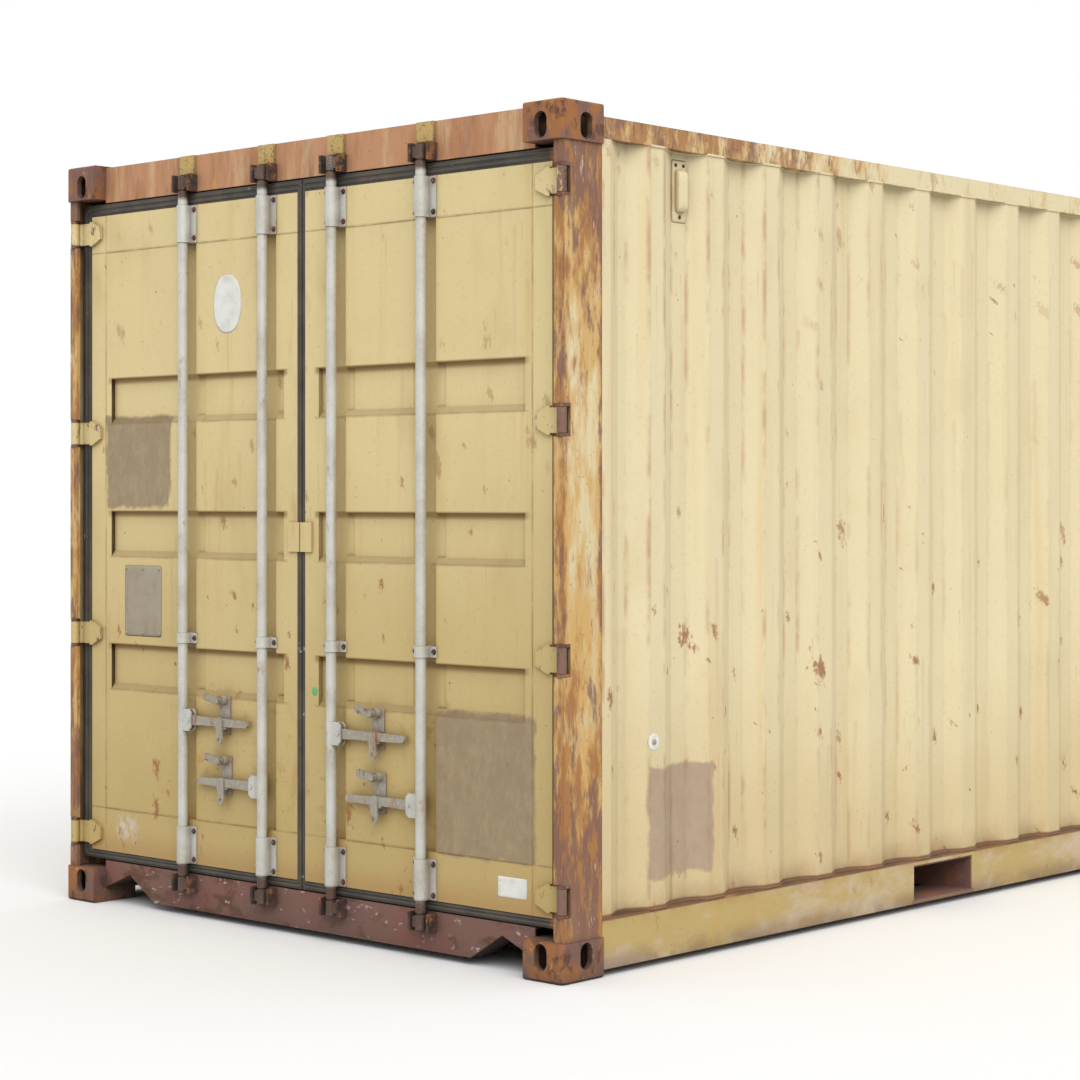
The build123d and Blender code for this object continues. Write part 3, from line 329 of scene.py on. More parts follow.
class Finish(NodeMaker):
    """A material under construction, with the patterns that the finishes share."""

    def __init__(self, name):
        self.colour = None
        self.material = bpy.data.materials.new(name)
        self.material.use_nodes = True
        super().__init__(self.material.node_tree)
        self.place = self.node("ShaderNodeTexCoord", out="Object")
        self.x, self.y, self.z = self.node("ShaderNodeSeparateXYZ", {}, {0: self.place}).outputs()
        facing = self.node("ShaderNodeTexCoord", out="Normal")
        self.face_x, self.face_y, self.face_z = self.node("ShaderNodeSeparateXYZ", {}, {0: facing}).outputs()
        level = self.z + (self.x - self.y) * 0.5
        self.sheet = self.node("ShaderNodeCombineXYZ", {}, {0: self.x + self.y, 1: level})

    def moved(self, place, stretch, shift):
        """Coordinates stretched along the axes and moved on by one number."""
        return self.node("ShaderNodeMapping", {}, {0: place, "Location": (shift,) * 3, "Scale": stretch})

    def noise(self, scale, detail=3.0, rough=0.55, stretch=(1.0, 1.0, 1.0), shift=0.0):
        """Fractal noise around a half, in cells of one part in scale of a metre, stretched along the axes."""
        place = self.moved(self.place, stretch, shift)
        return self.node("ShaderNodeTexNoise", {}, {"Vector": place, "Scale": scale, "Detail": detail,
                                                    "Roughness": rough})

    def rise(self, value, low, high):
        """Smooth step from none at low to full at high, or back where low is the larger."""
        smooth = {"interpolation_type": "SMOOTHSTEP"}
        return self.node("ShaderNodeMapRange", smooth, {0: value, 1: low, 2: high})

    def mix(self, share, first, second):
        """Colour that goes from first to second."""
        return self.node("ShaderNodeMix", {"data_type": "RGBA"}, {0: share, 6: first, 7: second}, out=2)

    def specks(self, scale, size, share, shift=0.0, tall=1.0, soft=0.3):
        """Ragged spots around a share of the points scattered on a sheet, each of its own size."""
        ragged = self.noise(scale * 9.0, 3.0, 0.8, (1.0, 1.0, 1.0 / tall), shift + 5.0)
        spots = self.node("ShaderNodeTexVoronoi", {"voronoi_dimensions": "2D"},
                          {"Vector": self.moved(self.sheet, (1.0, 1.0 / tall, 1.0), shift), "Scale": scale})
        distance, random = spots.outputs()[:2]
        chance = self.node("ShaderNodeSeparateColor", {}, {0: random})
        radius = (chance - (1.0 - share)) * (size / share)
        return self.rise(distance + (ragged - 0.5) * size * 3.4 - radius, 0.0, -soft * size)

    def runs(self, along, lane, low, high, length, share, seed):
        """Runs down the sheet: each lane has its own chance, start and length, and fades as it falls."""
        wavy = along + (self.noise(7.0, 2.0, shift=seed) - 0.5) * lane * 0.9
        number = (wavy / lane).floor()
        random = self.node("ShaderNodeTexWhiteNoise", {"noise_dimensions": "1D"}, {"W": number + seed}, out=1)
        chance, start, reach = self.node("ShaderNodeSeparateColor", {}, {0: random}).outputs()
        fall = (start * (high - low) + low - self.z) / (reach * length + 0.25 * length)
        across = abs((wavy / lane).fract() - 0.5)
        thin = self.rise(across, 0.42, 0.05)
        body = self.rise(fall, -0.02, 0.03) * (0.35 ** fall)
        return body * thin * (chance > 1.0 - share)

    def worn(self, radius):
        """Worn edges: how far the normal of a rounded copy leans from the flat one."""
        soft = self.node("ShaderNodeBevel", {"samples": 3}, {"Radius": radius})
        flat = self.node("ShaderNodeNewGeometry", out="Normal")
        dot = {"operation": "DOT_PRODUCT"}
        lean = self.node("ShaderNodeVectorMath", dot, {0: soft, 1: flat}, out="Value")
        return self.rise(1.0 - lean, 0.01, 0.22)

    def crease(self, reach):
        """The share of nearby space that is closed off: the finishes darken corners and creases by it as
        painted shade, the galvanised steel rusts its crevices by it.
        """
        open_share = self.node("ShaderNodeAmbientOcclusion", {"samples": 3}, {"Distance": reach}, out="AO")
        return 1.0 - open_share

    def patch(self, along, first, last, low, high, soft=0.008):
        """Upright rectangle with a brushed edge, between two places along and two heights."""
        wobble = (self.noise(9.0, 5.0, 0.7) - 0.5) * 0.06
        wide = (last - first) / 2
        tall = (high - low) / 2
        side = self.rise(abs(along + wobble - (first + last) / 2), wide + soft, wide - soft)
        level = self.rise(abs(self.z + wobble - (low + high) / 2), tall + soft, tall - soft)
        return side * level

    def line(self, value, place, half):
        """Thin line where a value is at its place."""
        return self.rise(abs(value - place), half, 0.0)

    def coat(self, share, tint):
        """Lays a tint over the colour so far."""
        self.colour = self.mix(share, self.colour, tint)

    def done(self, rough, height=None, depth=0.001, metal=0.0):
        """Principled shader from the colour so far, roughness, metal and a height that makes the bump."""
        inputs = {"Base Color": self.colour, "Roughness": rough, "Metallic": metal}
        if height is not None:
            bump = {"Strength": 1.0, "Distance": depth, "Height": height}
            inputs["Normal"] = self.node("ShaderNodeBump", {}, bump)
        shader = self.node("ShaderNodeBsdfPrincipled", {}, inputs)
        self.node("ShaderNodeOutputMaterial", {}, {"Surface": shader})
        return self.material


def dress(material, *names):
    """Gives a finish to CAD pieces."""
    for name in names:
        NODES[name].data.materials.clear()
        NODES[name].data.materials.append(material)


def shades(context):
    """The colours of the property group as light."""
    group = context.scene.container_colours
    return SimpleNamespace(**{key: linear(getattr(group, key)) for key in ContainerColours.__annotations__})


def weathered(f, c, wear, high, low, foot):
    """Faded paint: lighter above, ochre at the foot, with broad clouds, upright streaks and fine dirt."""
    depth = f.z + (f.noise(1.2, 3.0) - 0.5) * 1.1
    f.colour = f.mix(f.rise(depth, foot, 0.1), high, low)
    upright = f.noise(12.0, 3.0, 0.6, (1.0, 1.0, 0.04))
    f.coat(f.rise(upright, 0.52, 0.80) * 0.45 * wear.grime, c.ochre)
    cloud = f.noise(4.0, 3.0, 0.6, (1.0, 1.0, 0.5), 9.0)
    f.coat(f.rise(cloud, 0.50, 0.80) * 0.75 * wear.grime, low)
    f.coat(f.rise(f.noise(70.0, 2.0, 0.6), 0.55, 0.85) * 0.25 * wear.grime, c.grime)


def covered(f, c, lane, outside, tint, patches):
    """Rolled patches over old markings, with roller marks, and the share of the sheet that they leave."""
    bare = 1.0
    for first, last, low, high in patches:
        roller = f.rise(f.noise(26.0, 4.0, 0.75, (1.0, 1.0, 0.6), 2.0), 0.35, 0.75)
        paint = f.mix(roller * 0.22, tint, c.wall_low)
        rolled = f.patch(lane, first, last, low, high) * outside
        f.coat(rolled * 0.95, paint)
        bare = bare * (1.0 - rolled)
    return bare


def rusted(f, c, wear, lane, stain, corner=(0.07, 0.12, 0.70), dirt_and_shade="grime", bare=1.0):
    """Rust on painted sheet: stains, thin runs, smudges and small spots, with painted shade darkening the
    corners.
    """
    drips = f.runs(lane, 0.030, 0.3, 2.45, 0.45, 0.22, 3.0)
    tears = f.runs(lane, 0.010, 0.3, 2.45, 0.16, 0.12, 11.0)
    cluster = f.rise(f.noise(1.6, 1.0, shift=12.0), 0.36, 0.52) * (f.rise(f.z, 1.8, 1.0) * 0.5 + 0.5)
    smudge = f.specks(5.0, 0.15, 0.40, 4.0, 1.8, 0.6) | f.specks(11.0, 0.20, 0.30, 21.0, 1.5, 0.6)
    smudge = smudge * cluster * bare
    spots = f.specks(14.0, 0.10, 0.03) | f.specks(45.0, 0.16, 0.008, 7.0)
    f.coat((stain | drips * 0.20 | tears * 0.30 | smudge * 1.13) * wear.rust, c.rust)
    # Painted shade: corners and creases darkened by how closed off they are, in the given tint.
    reach, low, high = corner
    f.coat(f.rise(f.crease(reach), low, high) * 0.9 * wear.grime, getattr(c, dirt_and_shade))
    f.coat((spots | smudge * smudge * 0.2) * 0.8 * wear.rust, c.old_rust)
    fine = f.noise(60.0, 2.0, 0.6)
    height = f.noise(3.2, 1.0) * 2.4 + fine * 0.18
    return f.done(0.56 + fine * 0.16 + spots * 0.2, height, 0.0035)


def wall_paint(name, c, wear, patches=()):
    """Corrugated wall: pale paint, brown lines along the folds and a rusty foot, its very foot a dark line
    that is partly rust and partly painted shade.
    """
    f = Finish(name)
    weathered(f, c, wear, c.wall, c.wall_low, 1.0)
    bare = covered(f, c, f.x, f.rise(f.face_y, 0.1, -0.1), c.wall_patch, patches)
    turn = (f.x - FOLD_START + 40 * FOLD_PITCH) % FOLD_PITCH
    edge = abs(turn - FOLD_OUTER) & abs(turn - FOLD_OUTER - FOLD_SLOPE) & abs(turn - FOLD_PITCH + FOLD_SLOPE)
    edge = edge & abs(turn) & abs(turn - FOLD_PITCH)
    broken = f.rise(f.noise(4.5, 4.0, 0.75, (1.0, 1.0, 0.5), 4.0), 0.48, 0.66)
    near = f.rise(abs(f.x), FRONT - 2.2, FRONT - 0.7) * 0.7 + 0.3
    line = f.rise(edge, 0.014, 0.0) * broken * near * 0.7
    foot = f.rise(f.z, WALL_LOW.z + 0.10, WALL_LOW.z) * f.rise(f.noise(8.0, 3.0, 0.6, shift=2.0), 0.25, 0.70)
    # Dark line at the very foot: partly rust, partly painted shade in the gap above the rail.
    f.coat(f.rise(f.z, WALL_LOW.z + 0.014, WALL_LOW.z + 0.006) * 0.9, c.old_rust)
    return rusted(f, c, wear, f.x, line | foot * 0.55, bare=bare)


def end_paint(name, c, wear):
    """Front wall and roof: plain pale paint with streaks and spots."""
    f = Finish(name)
    weathered(f, c, wear, c.wall, c.wall_low, 1.0)
    return rusted(f, c, wear, f.y, f.rise(f.noise(5.0, 5.0, 0.65, shift=6.0), 0.56, 0.78) * 0.5)


def rail_paint(name, c, wear):
    """Bottom rail: scuffed paint, a soiled foot, a dark upper edge and brown straps below the pockets."""
    f = Finish(name)
    weathered(f, c, wear, c.wall_low, c.door_low, 0.5)
    scuff = f.rise(f.noise(7.0, 4.0, 0.7, (0.5, 1.0, 1.0), 3.0), 0.44, 0.70)
    f.coat(scuff * 0.55, c.scrape)
    bay = f.rise(abs(abs(f.x) - POCKET_MIDDLE), POCKET_HALF + 0.01, POCKET_HALF)
    strap = bay * f.rise(f.z, STRAP_TOP + 0.004, STRAP_TOP)
    f.coat(strap * 0.75, c.mauve)
    soil = f.rise(f.noise(6.0, 3.0, 0.6, shift=7.0), 0.30, 0.60)
    f.coat(f.rise(f.z, RAIL_LOW.z + 0.075, RAIL_LOW.z) * soil * 0.55, c.mauve)
    # The dark upper edge is partly rust along the rim and partly painted shade, the rim's upward-facing top
    # darkened in the underseal tint under the wall's foot.
    rim = f.rise(f.z, RAIL_HIGH.z - 0.012, RAIL_HIGH.z - 0.005)
    f.coat(rim * f.rise(f.noise(5.0, 3.0, 0.6), 0.25, 0.45) * 0.9, c.old_rust)
    f.coat(rim * f.rise(f.face_z, 0.5, 0.8) * 0.6, c.under)
    broken = f.rise(f.noise(9.0, 3.0, 0.6, shift=5.0), 0.40, 0.65)
    fade = f.rise(f.z, RAIL_HIGH.z - 0.050, RAIL_HIGH.z) * broken
    return rusted(f, c, wear, f.x, fade * 0.5, bare=0.4)


def door_paint(name, c, wear, patches, scuffs=()):
    """Leaf: yellowed paint with rolled patches, scuffs, dark lines where the sheet meets its frame, painted
    shadow under the bands' top edges and painted shade in corners and on upward-facing faces.
    """
    f = Finish(name)
    out = abs(f.y)
    weathered(f, c, wear, c.door, c.door_low, 1.85)
    outside = f.rise(f.face_x, 0.1, -0.1)
    bare = covered(f, c, f.y, outside, c.patch, patches)
    for first, last, low, high in scuffs:
        broken = f.rise(f.noise(45.0, 4.0, 0.7, (1.0, 1.0, 0.5)), 0.44, 0.56)
        scuff = f.patch(f.y, first, last, low, high, 0.03) * broken * outside
        f.coat(scuff * 0.8, c.scrape)
    seams = f.line(f.z, PANEL_HIGH.z, 0.005) | f.line(f.z, PANEL_LOW.z, 0.005)
    seams = seams | f.line(out, PANEL_HIGH.y, 0.005)
    broken = f.rise(f.noise(6.0, 3.0, 0.7), 0.30, 0.60)
    f.coat(seams * broken * 0.5, c.grime)
    # Painted shade: faces that point upwards are darkened in the grime tint.
    f.coat(f.rise(f.face_z, 0.25, 0.60) * 0.42, c.grime)
    # Painted shadow in the stain tint on the panel between the stiles: a wide line under the top edge of each
    # recessed band, and painted shade in a thinner broken line in the corner at its foot.
    across = outside * f.rise(out, PANEL_LOW.y - 0.02, PANEL_LOW.y)
    across = across * f.rise(out, PANEL_HIGH.y, PANEL_HIGH.y - 0.04)
    for number in (-1, 0, 1):
        high = f.z - (BAND_MIDDLE + number * BAND_PITCH + BAND_HALF)
        low = f.z - (BAND_MIDDLE + number * BAND_PITCH - BAND_HALF)
        under = f.rise(high, -0.022, -0.006) * f.rise(high, 0.010, 0.004)
        foot = f.rise(abs(low + BAND_SLOPE), 0.006, 0.002) * broken
        f.coat(across * (under * 0.72 | foot * 0.35), c.stain)
    foot = f.rise(f.z, LEAF_LOW.z + 0.10, LEAF_LOW.z) * 0.5
    edge = f.rise(out, PANEL_LOW.y, LEAF_LOW.y) * f.rise(f.noise(10.0, 3.0, 0.7, (1.0, 1.0, 0.3)), 0.48, 0.72)
    gear = outside * f.rise(f.z, 0.28, 0.42) * f.rise(f.z, 0.86, 0.72) * f.rise(out, 0.80, 0.66)
    soil = gear * f.rise(f.noise(11.0, 4.0, 0.72, (1.0, 1.0, 1.6), 15.0), 0.54, 0.74)
    stain = foot | edge * 0.5 | soil * 0.6
    # The leaves' corners and creases, beside the rods too, are darkened as painted shade in the brown stain
    # tint.
    return rusted(f, c, wear, f.y, stain, (0.05, 0.08, 0.50), "stain", bare)


def stained_paint(name, c, base, foot, layers, streak, scale, ends=()):
    """Paint that rust has run over: layers of streaks, wider towards the ends and edges that are given."""
    f = Finish(name)
    value = {"x": f.x, "z": f.z, "out": abs(f.y), "along": abs(f.x)}
    heavy = 0.0
    for axis, first, full in ends:
        heavy = f.rise(value[axis], first, full) | heavy
    f.colour = f.mix(f.rise(f.z, LEAF_HIGH.z, LEAF_LOW.z), base, foot)
    for number, (tint, low, high, weight) in enumerate(layers):
        pattern = f.noise(scale * (1.0 + 0.45 * number), 4.0, 0.70, streak, 4.0 * number)
        f.coat(f.rise(pattern + heavy * 0.24, low, high) * weight, tint)
    fine = f.noise(240.0, 1.0)
    bits = f.noise(scale * 4.0, 3.0, 0.7, streak, 8.0)
    pits = f.specks(70.0, 0.2, 0.12, 3.0)
    f.coat(f.worn(0.005) * f.rise(bits, 0.40, 0.60) * 0.7, c.old_rust)
    # Painted shade: corners and creases darkened in the grime tint by how closed off they are.
    f.coat(f.rise(f.crease(0.06), 0.10, 0.75) * 0.7, c.grime)
    f.coat(pits * 0.6, c.old_rust)
    return f.done(0.60 + fine * 0.25, bits * 0.6 + fine * 0.25, 0.0014)


def scraped_steel(name, c, tints, streak, scale, coat=None):
    """Rusted steel: ragged patches drawn out along it, painted shade in the hollows, and paint on the guards
    if asked.
    """
    f = Finish(name)
    main, second, third, bare = (getattr(c, tint) for tint in tints.split())
    first = f.noise(scale, 4.0, 0.62, streak)
    other = f.noise(scale * 1.7, 4.0, 0.66, streak, 4.0)
    bits = f.noise(scale * 5.0, 3.0, 0.7, streak, 8.0)
    fine = f.noise(240.0, 1.0)
    pits = f.specks(85.0, 0.2, 0.15, 3.0)
    f.colour = f.mix(f.rise(first, 0.40, 0.60), main, second)
    f.coat(f.rise(other, 0.52, 0.64), third)
    f.coat(f.rise(bits, 0.62, 0.70) * 0.6, bare)
    if coat is not None:
        kept = f.rise(f.z, GUARD_FOOT - 0.004, GUARD_FOOT) * f.rise(bits, 0.66, 0.56)
        f.coat(kept * 0.9, coat)
    f.coat(f.worn(0.006) * f.rise(bits, 0.40, 0.56) * 0.6, c.old_rust)
    # Painted shade: hollows and corners darkened towards the underseal's near-black by how closed off they
    # are.
    f.coat(f.rise(f.crease(0.15), 0.25, 0.80) * 0.92, c.under)
    f.coat(pits * 0.4, c.old_rust)
    return f.done(0.62 + fine * 0.3, bits * 0.6 + fine * 0.25, 0.0016)


def zinc_coat(name, c, base, rub):
    """Galvanised steel: pale spangle, dull streaks, rust where rubbed, and dark rust on the rods' ends."""
    f = Finish(name)
    spangle = f.node("ShaderNodeTexVoronoi", {}, {"Vector": f.place, "Scale": 130.0}, out=1)
    flake = f.node("ShaderNodeSeparateColor", {}, {0: spangle})
    upright = f.noise(22.0, 4.0, 0.6, (1.0, 1.0, 0.06))
    cloud = f.noise(7.0, 4.0, 0.6)
    fine = f.noise(300.0, 2.0)
    f.colour = f.mix(f.rise(cloud, 0.35, 0.70) * 0.40, base, c.patch)
    f.coat(flake * 0.16, c.label)
    f.coat(f.rise(upright, 0.54, 0.74) * 0.35, c.patch)
    rubbed = f.rise(f.noise(16.0, 5.0, 0.7, (1.0, 1.0, 0.5), 5.0), rub, rub + 0.12)
    tips = f.rise(f.z, HEADER_LOW.z - 0.01, HEADER_LOW.z + 0.01)
    tips = tips | f.rise(f.z, SILL_HIGH.z + 0.01, SILL_HIGH.z - 0.01)
    f.coat(rubbed * 0.65, c.rust)
    f.coat(f.rise(f.crease(0.03), 0.1, 0.9) * 0.8, c.old_rust)
    f.coat(tips * f.rise(fine + cloud, 0.70, 0.95) * 0.9, c.under)
    f.coat(tips * 0.6, c.old_rust)
    rough = 0.42 + cloud * 0.2 + rubbed * 0.25
    return f.done(rough, fine * 0.3 + rubbed * 0.6, 0.0006, 0.25)


def seal_rubber(name, c):
    """Weathered rubber: grey bloom, paint scuffs and fine ribs."""
    f = Finish(name)
    bloom = f.noise(6.0, 5.0, 0.6)
    scuff = f.rise(f.noise(34.0, 4.0, 0.7, (1.0, 0.4, 0.4), 2.0), 0.64, 0.72)
    f.colour = f.mix(f.rise(bloom, 0.35, 0.75) * 0.25, c.rubber, c.patch)
    f.coat(scuff * 0.5, c.zinc)
    f.coat(f.rise(f.y, 0.02 - LEAF_HIGH.y, -LEAF_HIGH.y) * 0.8, c.rust)
    return f.done(0.58 + bloom * 0.25, f.noise(180.0, 3.0), 0.0007)


def floor_ply(name, c):
    """Plywood boards: long grain, knots, scuffs from pallets and dark screw stains."""
    f = Finish(name)
    grain = f.noise(26.0, 5.0, 0.6, (0.06, 1.0, 1.0))
    ring = f.noise(5.0, 3.0, 0.5, (0.12, 1.0, 1.0), 3.0)
    scuff = f.rise(f.noise(4.0, 5.0, 0.7, shift=6.0), 0.55, 0.72)
    f.colour = f.mix(f.rise(grain, 0.35, 0.70), c.ply, c.old_rust)
    f.coat(f.rise(ring, 0.5, 0.8) * 0.35, c.ochre)
    f.coat(scuff * 0.4, c.under)
    return f.done(0.62 + grain * 0.2, grain + scuff * 0.4, 0.0015)


def under_coat(name, c, base):
    """Thick coating with dust and rust showing through."""
    f = Finish(name)
    lump = f.noise(40.0, 4.0, 0.6)
    rusty = f.rise(f.noise(5.0, 5.0, 0.65, shift=3.0), 0.50, 0.68)
    f.colour = f.mix(rusty * 0.55, base, c.rust)
    f.coat(f.rise(lump, 0.5, 0.8) * 0.35, c.patch)
    return f.done(0.7 + lump * 0.2, lump, 0.002)


def blank_label(name, c, base, dirt_and_shade=0.35):
    """Vinyl or plate gone dull: yellowed, dusty and scratched."""
    f = Finish(name)
    dust = f.noise(18.0, 4.0, 0.6)
    scratch = f.rise(f.noise(60.0, 3.0, 0.7, (1.0, 0.3, 1.0)), 0.66, 0.72)
    f.colour = f.mix(f.rise(dust, 0.40, 0.80) * dirt_and_shade, base, c.patch)
    f.coat(scratch * (dirt_and_shade + 0.05), c.patch)
    return f.done(0.42 + dust * 0.2, dust, 0.0004)


def quads_of(rows, columns, round_rows, round_columns, count=1):
    """Quads of grids of rows by columns; a way round that closes joins its last line to its first."""
    i, j = np.meshgrid(np.arange(rows if round_rows else rows - 1),
                       np.arange(columns if round_columns else columns - 1), indexing="ij")
    down = (i + 1) % rows
    right = (j + 1) % columns
    quads = np.stack([i * columns + j, i * columns + right, down * columns + right, down * columns + j], -1)
    first = np.arange(count)[:, None, None] * rows * columns
    return (quads.reshape(1, -1, 4) + first).reshape(-1, 4)


def turned(profile, centres, axis, across, sides):
    """Surface of revolution: point = centre + height * axis + radius * (cos t, sin t) around the axis."""
    profile = np.asarray(profile, float)
    centres = np.asarray(centres, float).reshape(-1, 1, 1, 3)
    axis = np.asarray(axis, float)
    across = np.asarray(across, float)
    third = np.cross(axis, across)
    angle = np.arange(sides) * 2 * np.pi / sides + np.pi / sides
    ring = np.cos(angle)[:, None] * across + np.sin(angle)[:, None] * third
    shape = profile[:, 1, None, None] * axis + profile[:, 0, None, None] * ring
    points = centres + shape[None]
    return points.reshape(-1, 3), quads_of(len(profile), sides, False, True, len(centres))


def carried(path, normal, third, profile, closed, swell=1.0):
    """Profile carried along a path: point = path + swell * (side * normal + out * third)."""
    path = np.asarray(path, float)
    normal = np.broadcast_to(np.asarray(normal, float), path.shape)
    third = np.broadcast_to(np.asarray(third, float), path.shape)
    profile = np.asarray(profile, float)
    swell = np.broadcast_to(np.asarray(swell, float), (len(path),))[:, None, None]
    offset = profile[None, :, 0, None] * normal[:, None] + profile[None, :, 1, None] * third[:, None]
    points = path[:, None] + swell * offset
    return points.reshape(-1, 3), quads_of(len(path), len(profile), closed, True)


def plates(centres, along, up, half_long, half_high, thick, power, rings=5, sides=48):
    """Domed plates: edge (cos t, sin t) raised to 2 / power, height falling to nothing at the rim."""
    angle = np.arange(sides) * 2 * np.pi / sides
    edge = [np.sign(w) * np.abs(w) ** (2.0 / power) for w in (np.cos(angle), np.sin(angle))]
    reach = np.concatenate([[0.0], 1.0 - np.linspace(0.0, 1.0, rings) ** 2])
    lift = thick * np.minimum(1.0, (1.0 - reach) * 12.0)
    lift[0] = 0.0
    along = np.asarray(along, float)
    up = np.asarray(up, float)
    out = np.cross(along, up)
    flat = edge[0][:, None] * half_long * along + edge[1][:, None] * half_high * up
    shape = reach[:, None, None] * flat + lift[:, None, None] * out
    points = np.asarray(centres, float).reshape(-1, 1, 1, 3) + shape[None]
    return points.reshape(-1, 3), quads_of(len(reach), sides, False, True, points.shape[0])


def put(name, body, material, shapes, smooth=True):
    """Joins shapes into one closed-seamed object at the origin that rides on a body."""
    starts = np.cumsum([0] + [len(points) for points, _ in shapes[:-1]])
    points = np.concatenate([points for points, _ in shapes])
    quads = np.concatenate([quads + start for (_, quads), start in zip(shapes, starts)])
    mesh = bpy.data.meshes.new(name)
    mesh.from_pydata(points.tolist(), [], quads.tolist())
    merged = bmesh.new()
    merged.from_mesh(mesh)
    bmesh.ops.remove_doubles(merged, verts=merged.verts, dist=1e-6)
    merged.to_mesh(mesh)
    merged.free()
    mesh.polygons.foreach_set("use_smooth", np.full(len(mesh.polygons), smooth))
    mesh.materials.append(material)
    made = bpy.data.objects.new(name, mesh)
    bpy.context.scene.collection.objects.link(made)
    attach(made, body)
    return made


def bolt_heads(centres, axis, across, half):
    """Hexagon heads on round washers."""
    head = [(1.0, 0.25), (1.0, 0.95), (0.84, 1.15), (0.0, 1.15)]
    washer = [(1.45, 0.0), (1.45, 0.22), (1.30, 0.30), (0.0, 0.30)]
    return [turned(np.array(head) * half, centres, axis, across, 6),
            turned(np.array(washer) * half, centres, axis, across, 12)]


def rivet_heads(centres, axis, across, radius):
    """Low domes."""
    turn = np.linspace(0.0, np.pi / 2, 5)
    dome = np.stack([np.cos(turn), 0.6 * np.sin(turn)], -1)
    return [turned(dome * radius, centres, axis, across, 10)]


def half_round(half, high, steps=7):
    """Closed half-round profile that sits a little into what it lies on."""
    turn = np.linspace(0.0, np.pi, steps)
    arch = np.stack([-half * np.cos(turn), high * np.sin(turn)], -1)
    sunk = np.array([(half, -0.3 * high), (-half, -0.3 * high)])
    return np.concatenate([arch, sunk])


def bead(start, end, normal, out, half, ripple=0.14):
    """Straight half-round bead between two points, swelling with each ripple, closed at its ends."""
    start = np.asarray(start, float)
    end = np.asarray(end, float)
    length = np.linalg.norm(end - start)
    share = np.linspace(0.0, 1.0, max(5, int(length / WELD_STEP)))
    path = start + share[:, None] * (end - start)
    wave = np.sin(share * length / WELD_RIPPLE * 2 * np.pi) + 0.7 * np.sin(share * length * 31.0)
    swell = 1.0 + ripple * wave
    swell[[0, -1]] = 0.0
    return carried(path, normal, out, half_round(half, half * 0.7), False, swell)


def ring(centre, radius, bar, sides=28):
    """Torus in an upright plane along the box: centre plus radius and bar times cosines and sines."""
    turn = np.arange(sides) * 2 * np.pi / sides
    normal = np.stack([np.cos(turn), np.zeros(sides), np.sin(turn)], -1)
    around = np.arange(8) * np.pi / 4
    profile = bar * np.stack([np.cos(around), np.sin(around)], -1)
    return carried(np.asarray(centre, float) + radius * normal, normal, ALONG_Y, profile, True)


def rounded_loop(y0, y1, z0, z1, x, radius, steps=6):
    """Rectangle with round corners in the door plane and its outward normals."""
    turn = np.linspace(0.0, np.pi / 2, steps)
    corners = ((y1 - radius, z1 - radius, 0.0), (y0 + radius, z1 - radius, 0.5),
               (y0 + radius, z0 + radius, 1.0), (y1 - radius, z0 + radius, 1.5))
    middle = np.array([(y, z) for y, z, _ in corners])
    angle = np.array([quarter * np.pi for _, _, quarter in corners])[:, None] + turn
    normal = np.stack([np.cos(angle), np.sin(angle)], -1)
    points = (middle[:, None] + radius * normal).reshape(-1, 2)
    flat = normal.reshape(-1, 2)
    path = np.column_stack([np.full(len(points), x), points])
    return path, np.column_stack([np.zeros(len(flat)), flat])


def fold_depth(place):
    """Depth of the side wall's fold at places along it: a trapezoid wave."""
    turn = np.mod(place - FOLD_START, FOLD_PITCH)
    lines = np.cumsum([0.0, FOLD_OUTER, FOLD_SLOPE, FOLD_INNER, FOLD_SLOPE])
    return np.interp(turn, lines, [0.0, 0.0, FOLD_DEPTH, FOLD_DEPTH, 0.0])


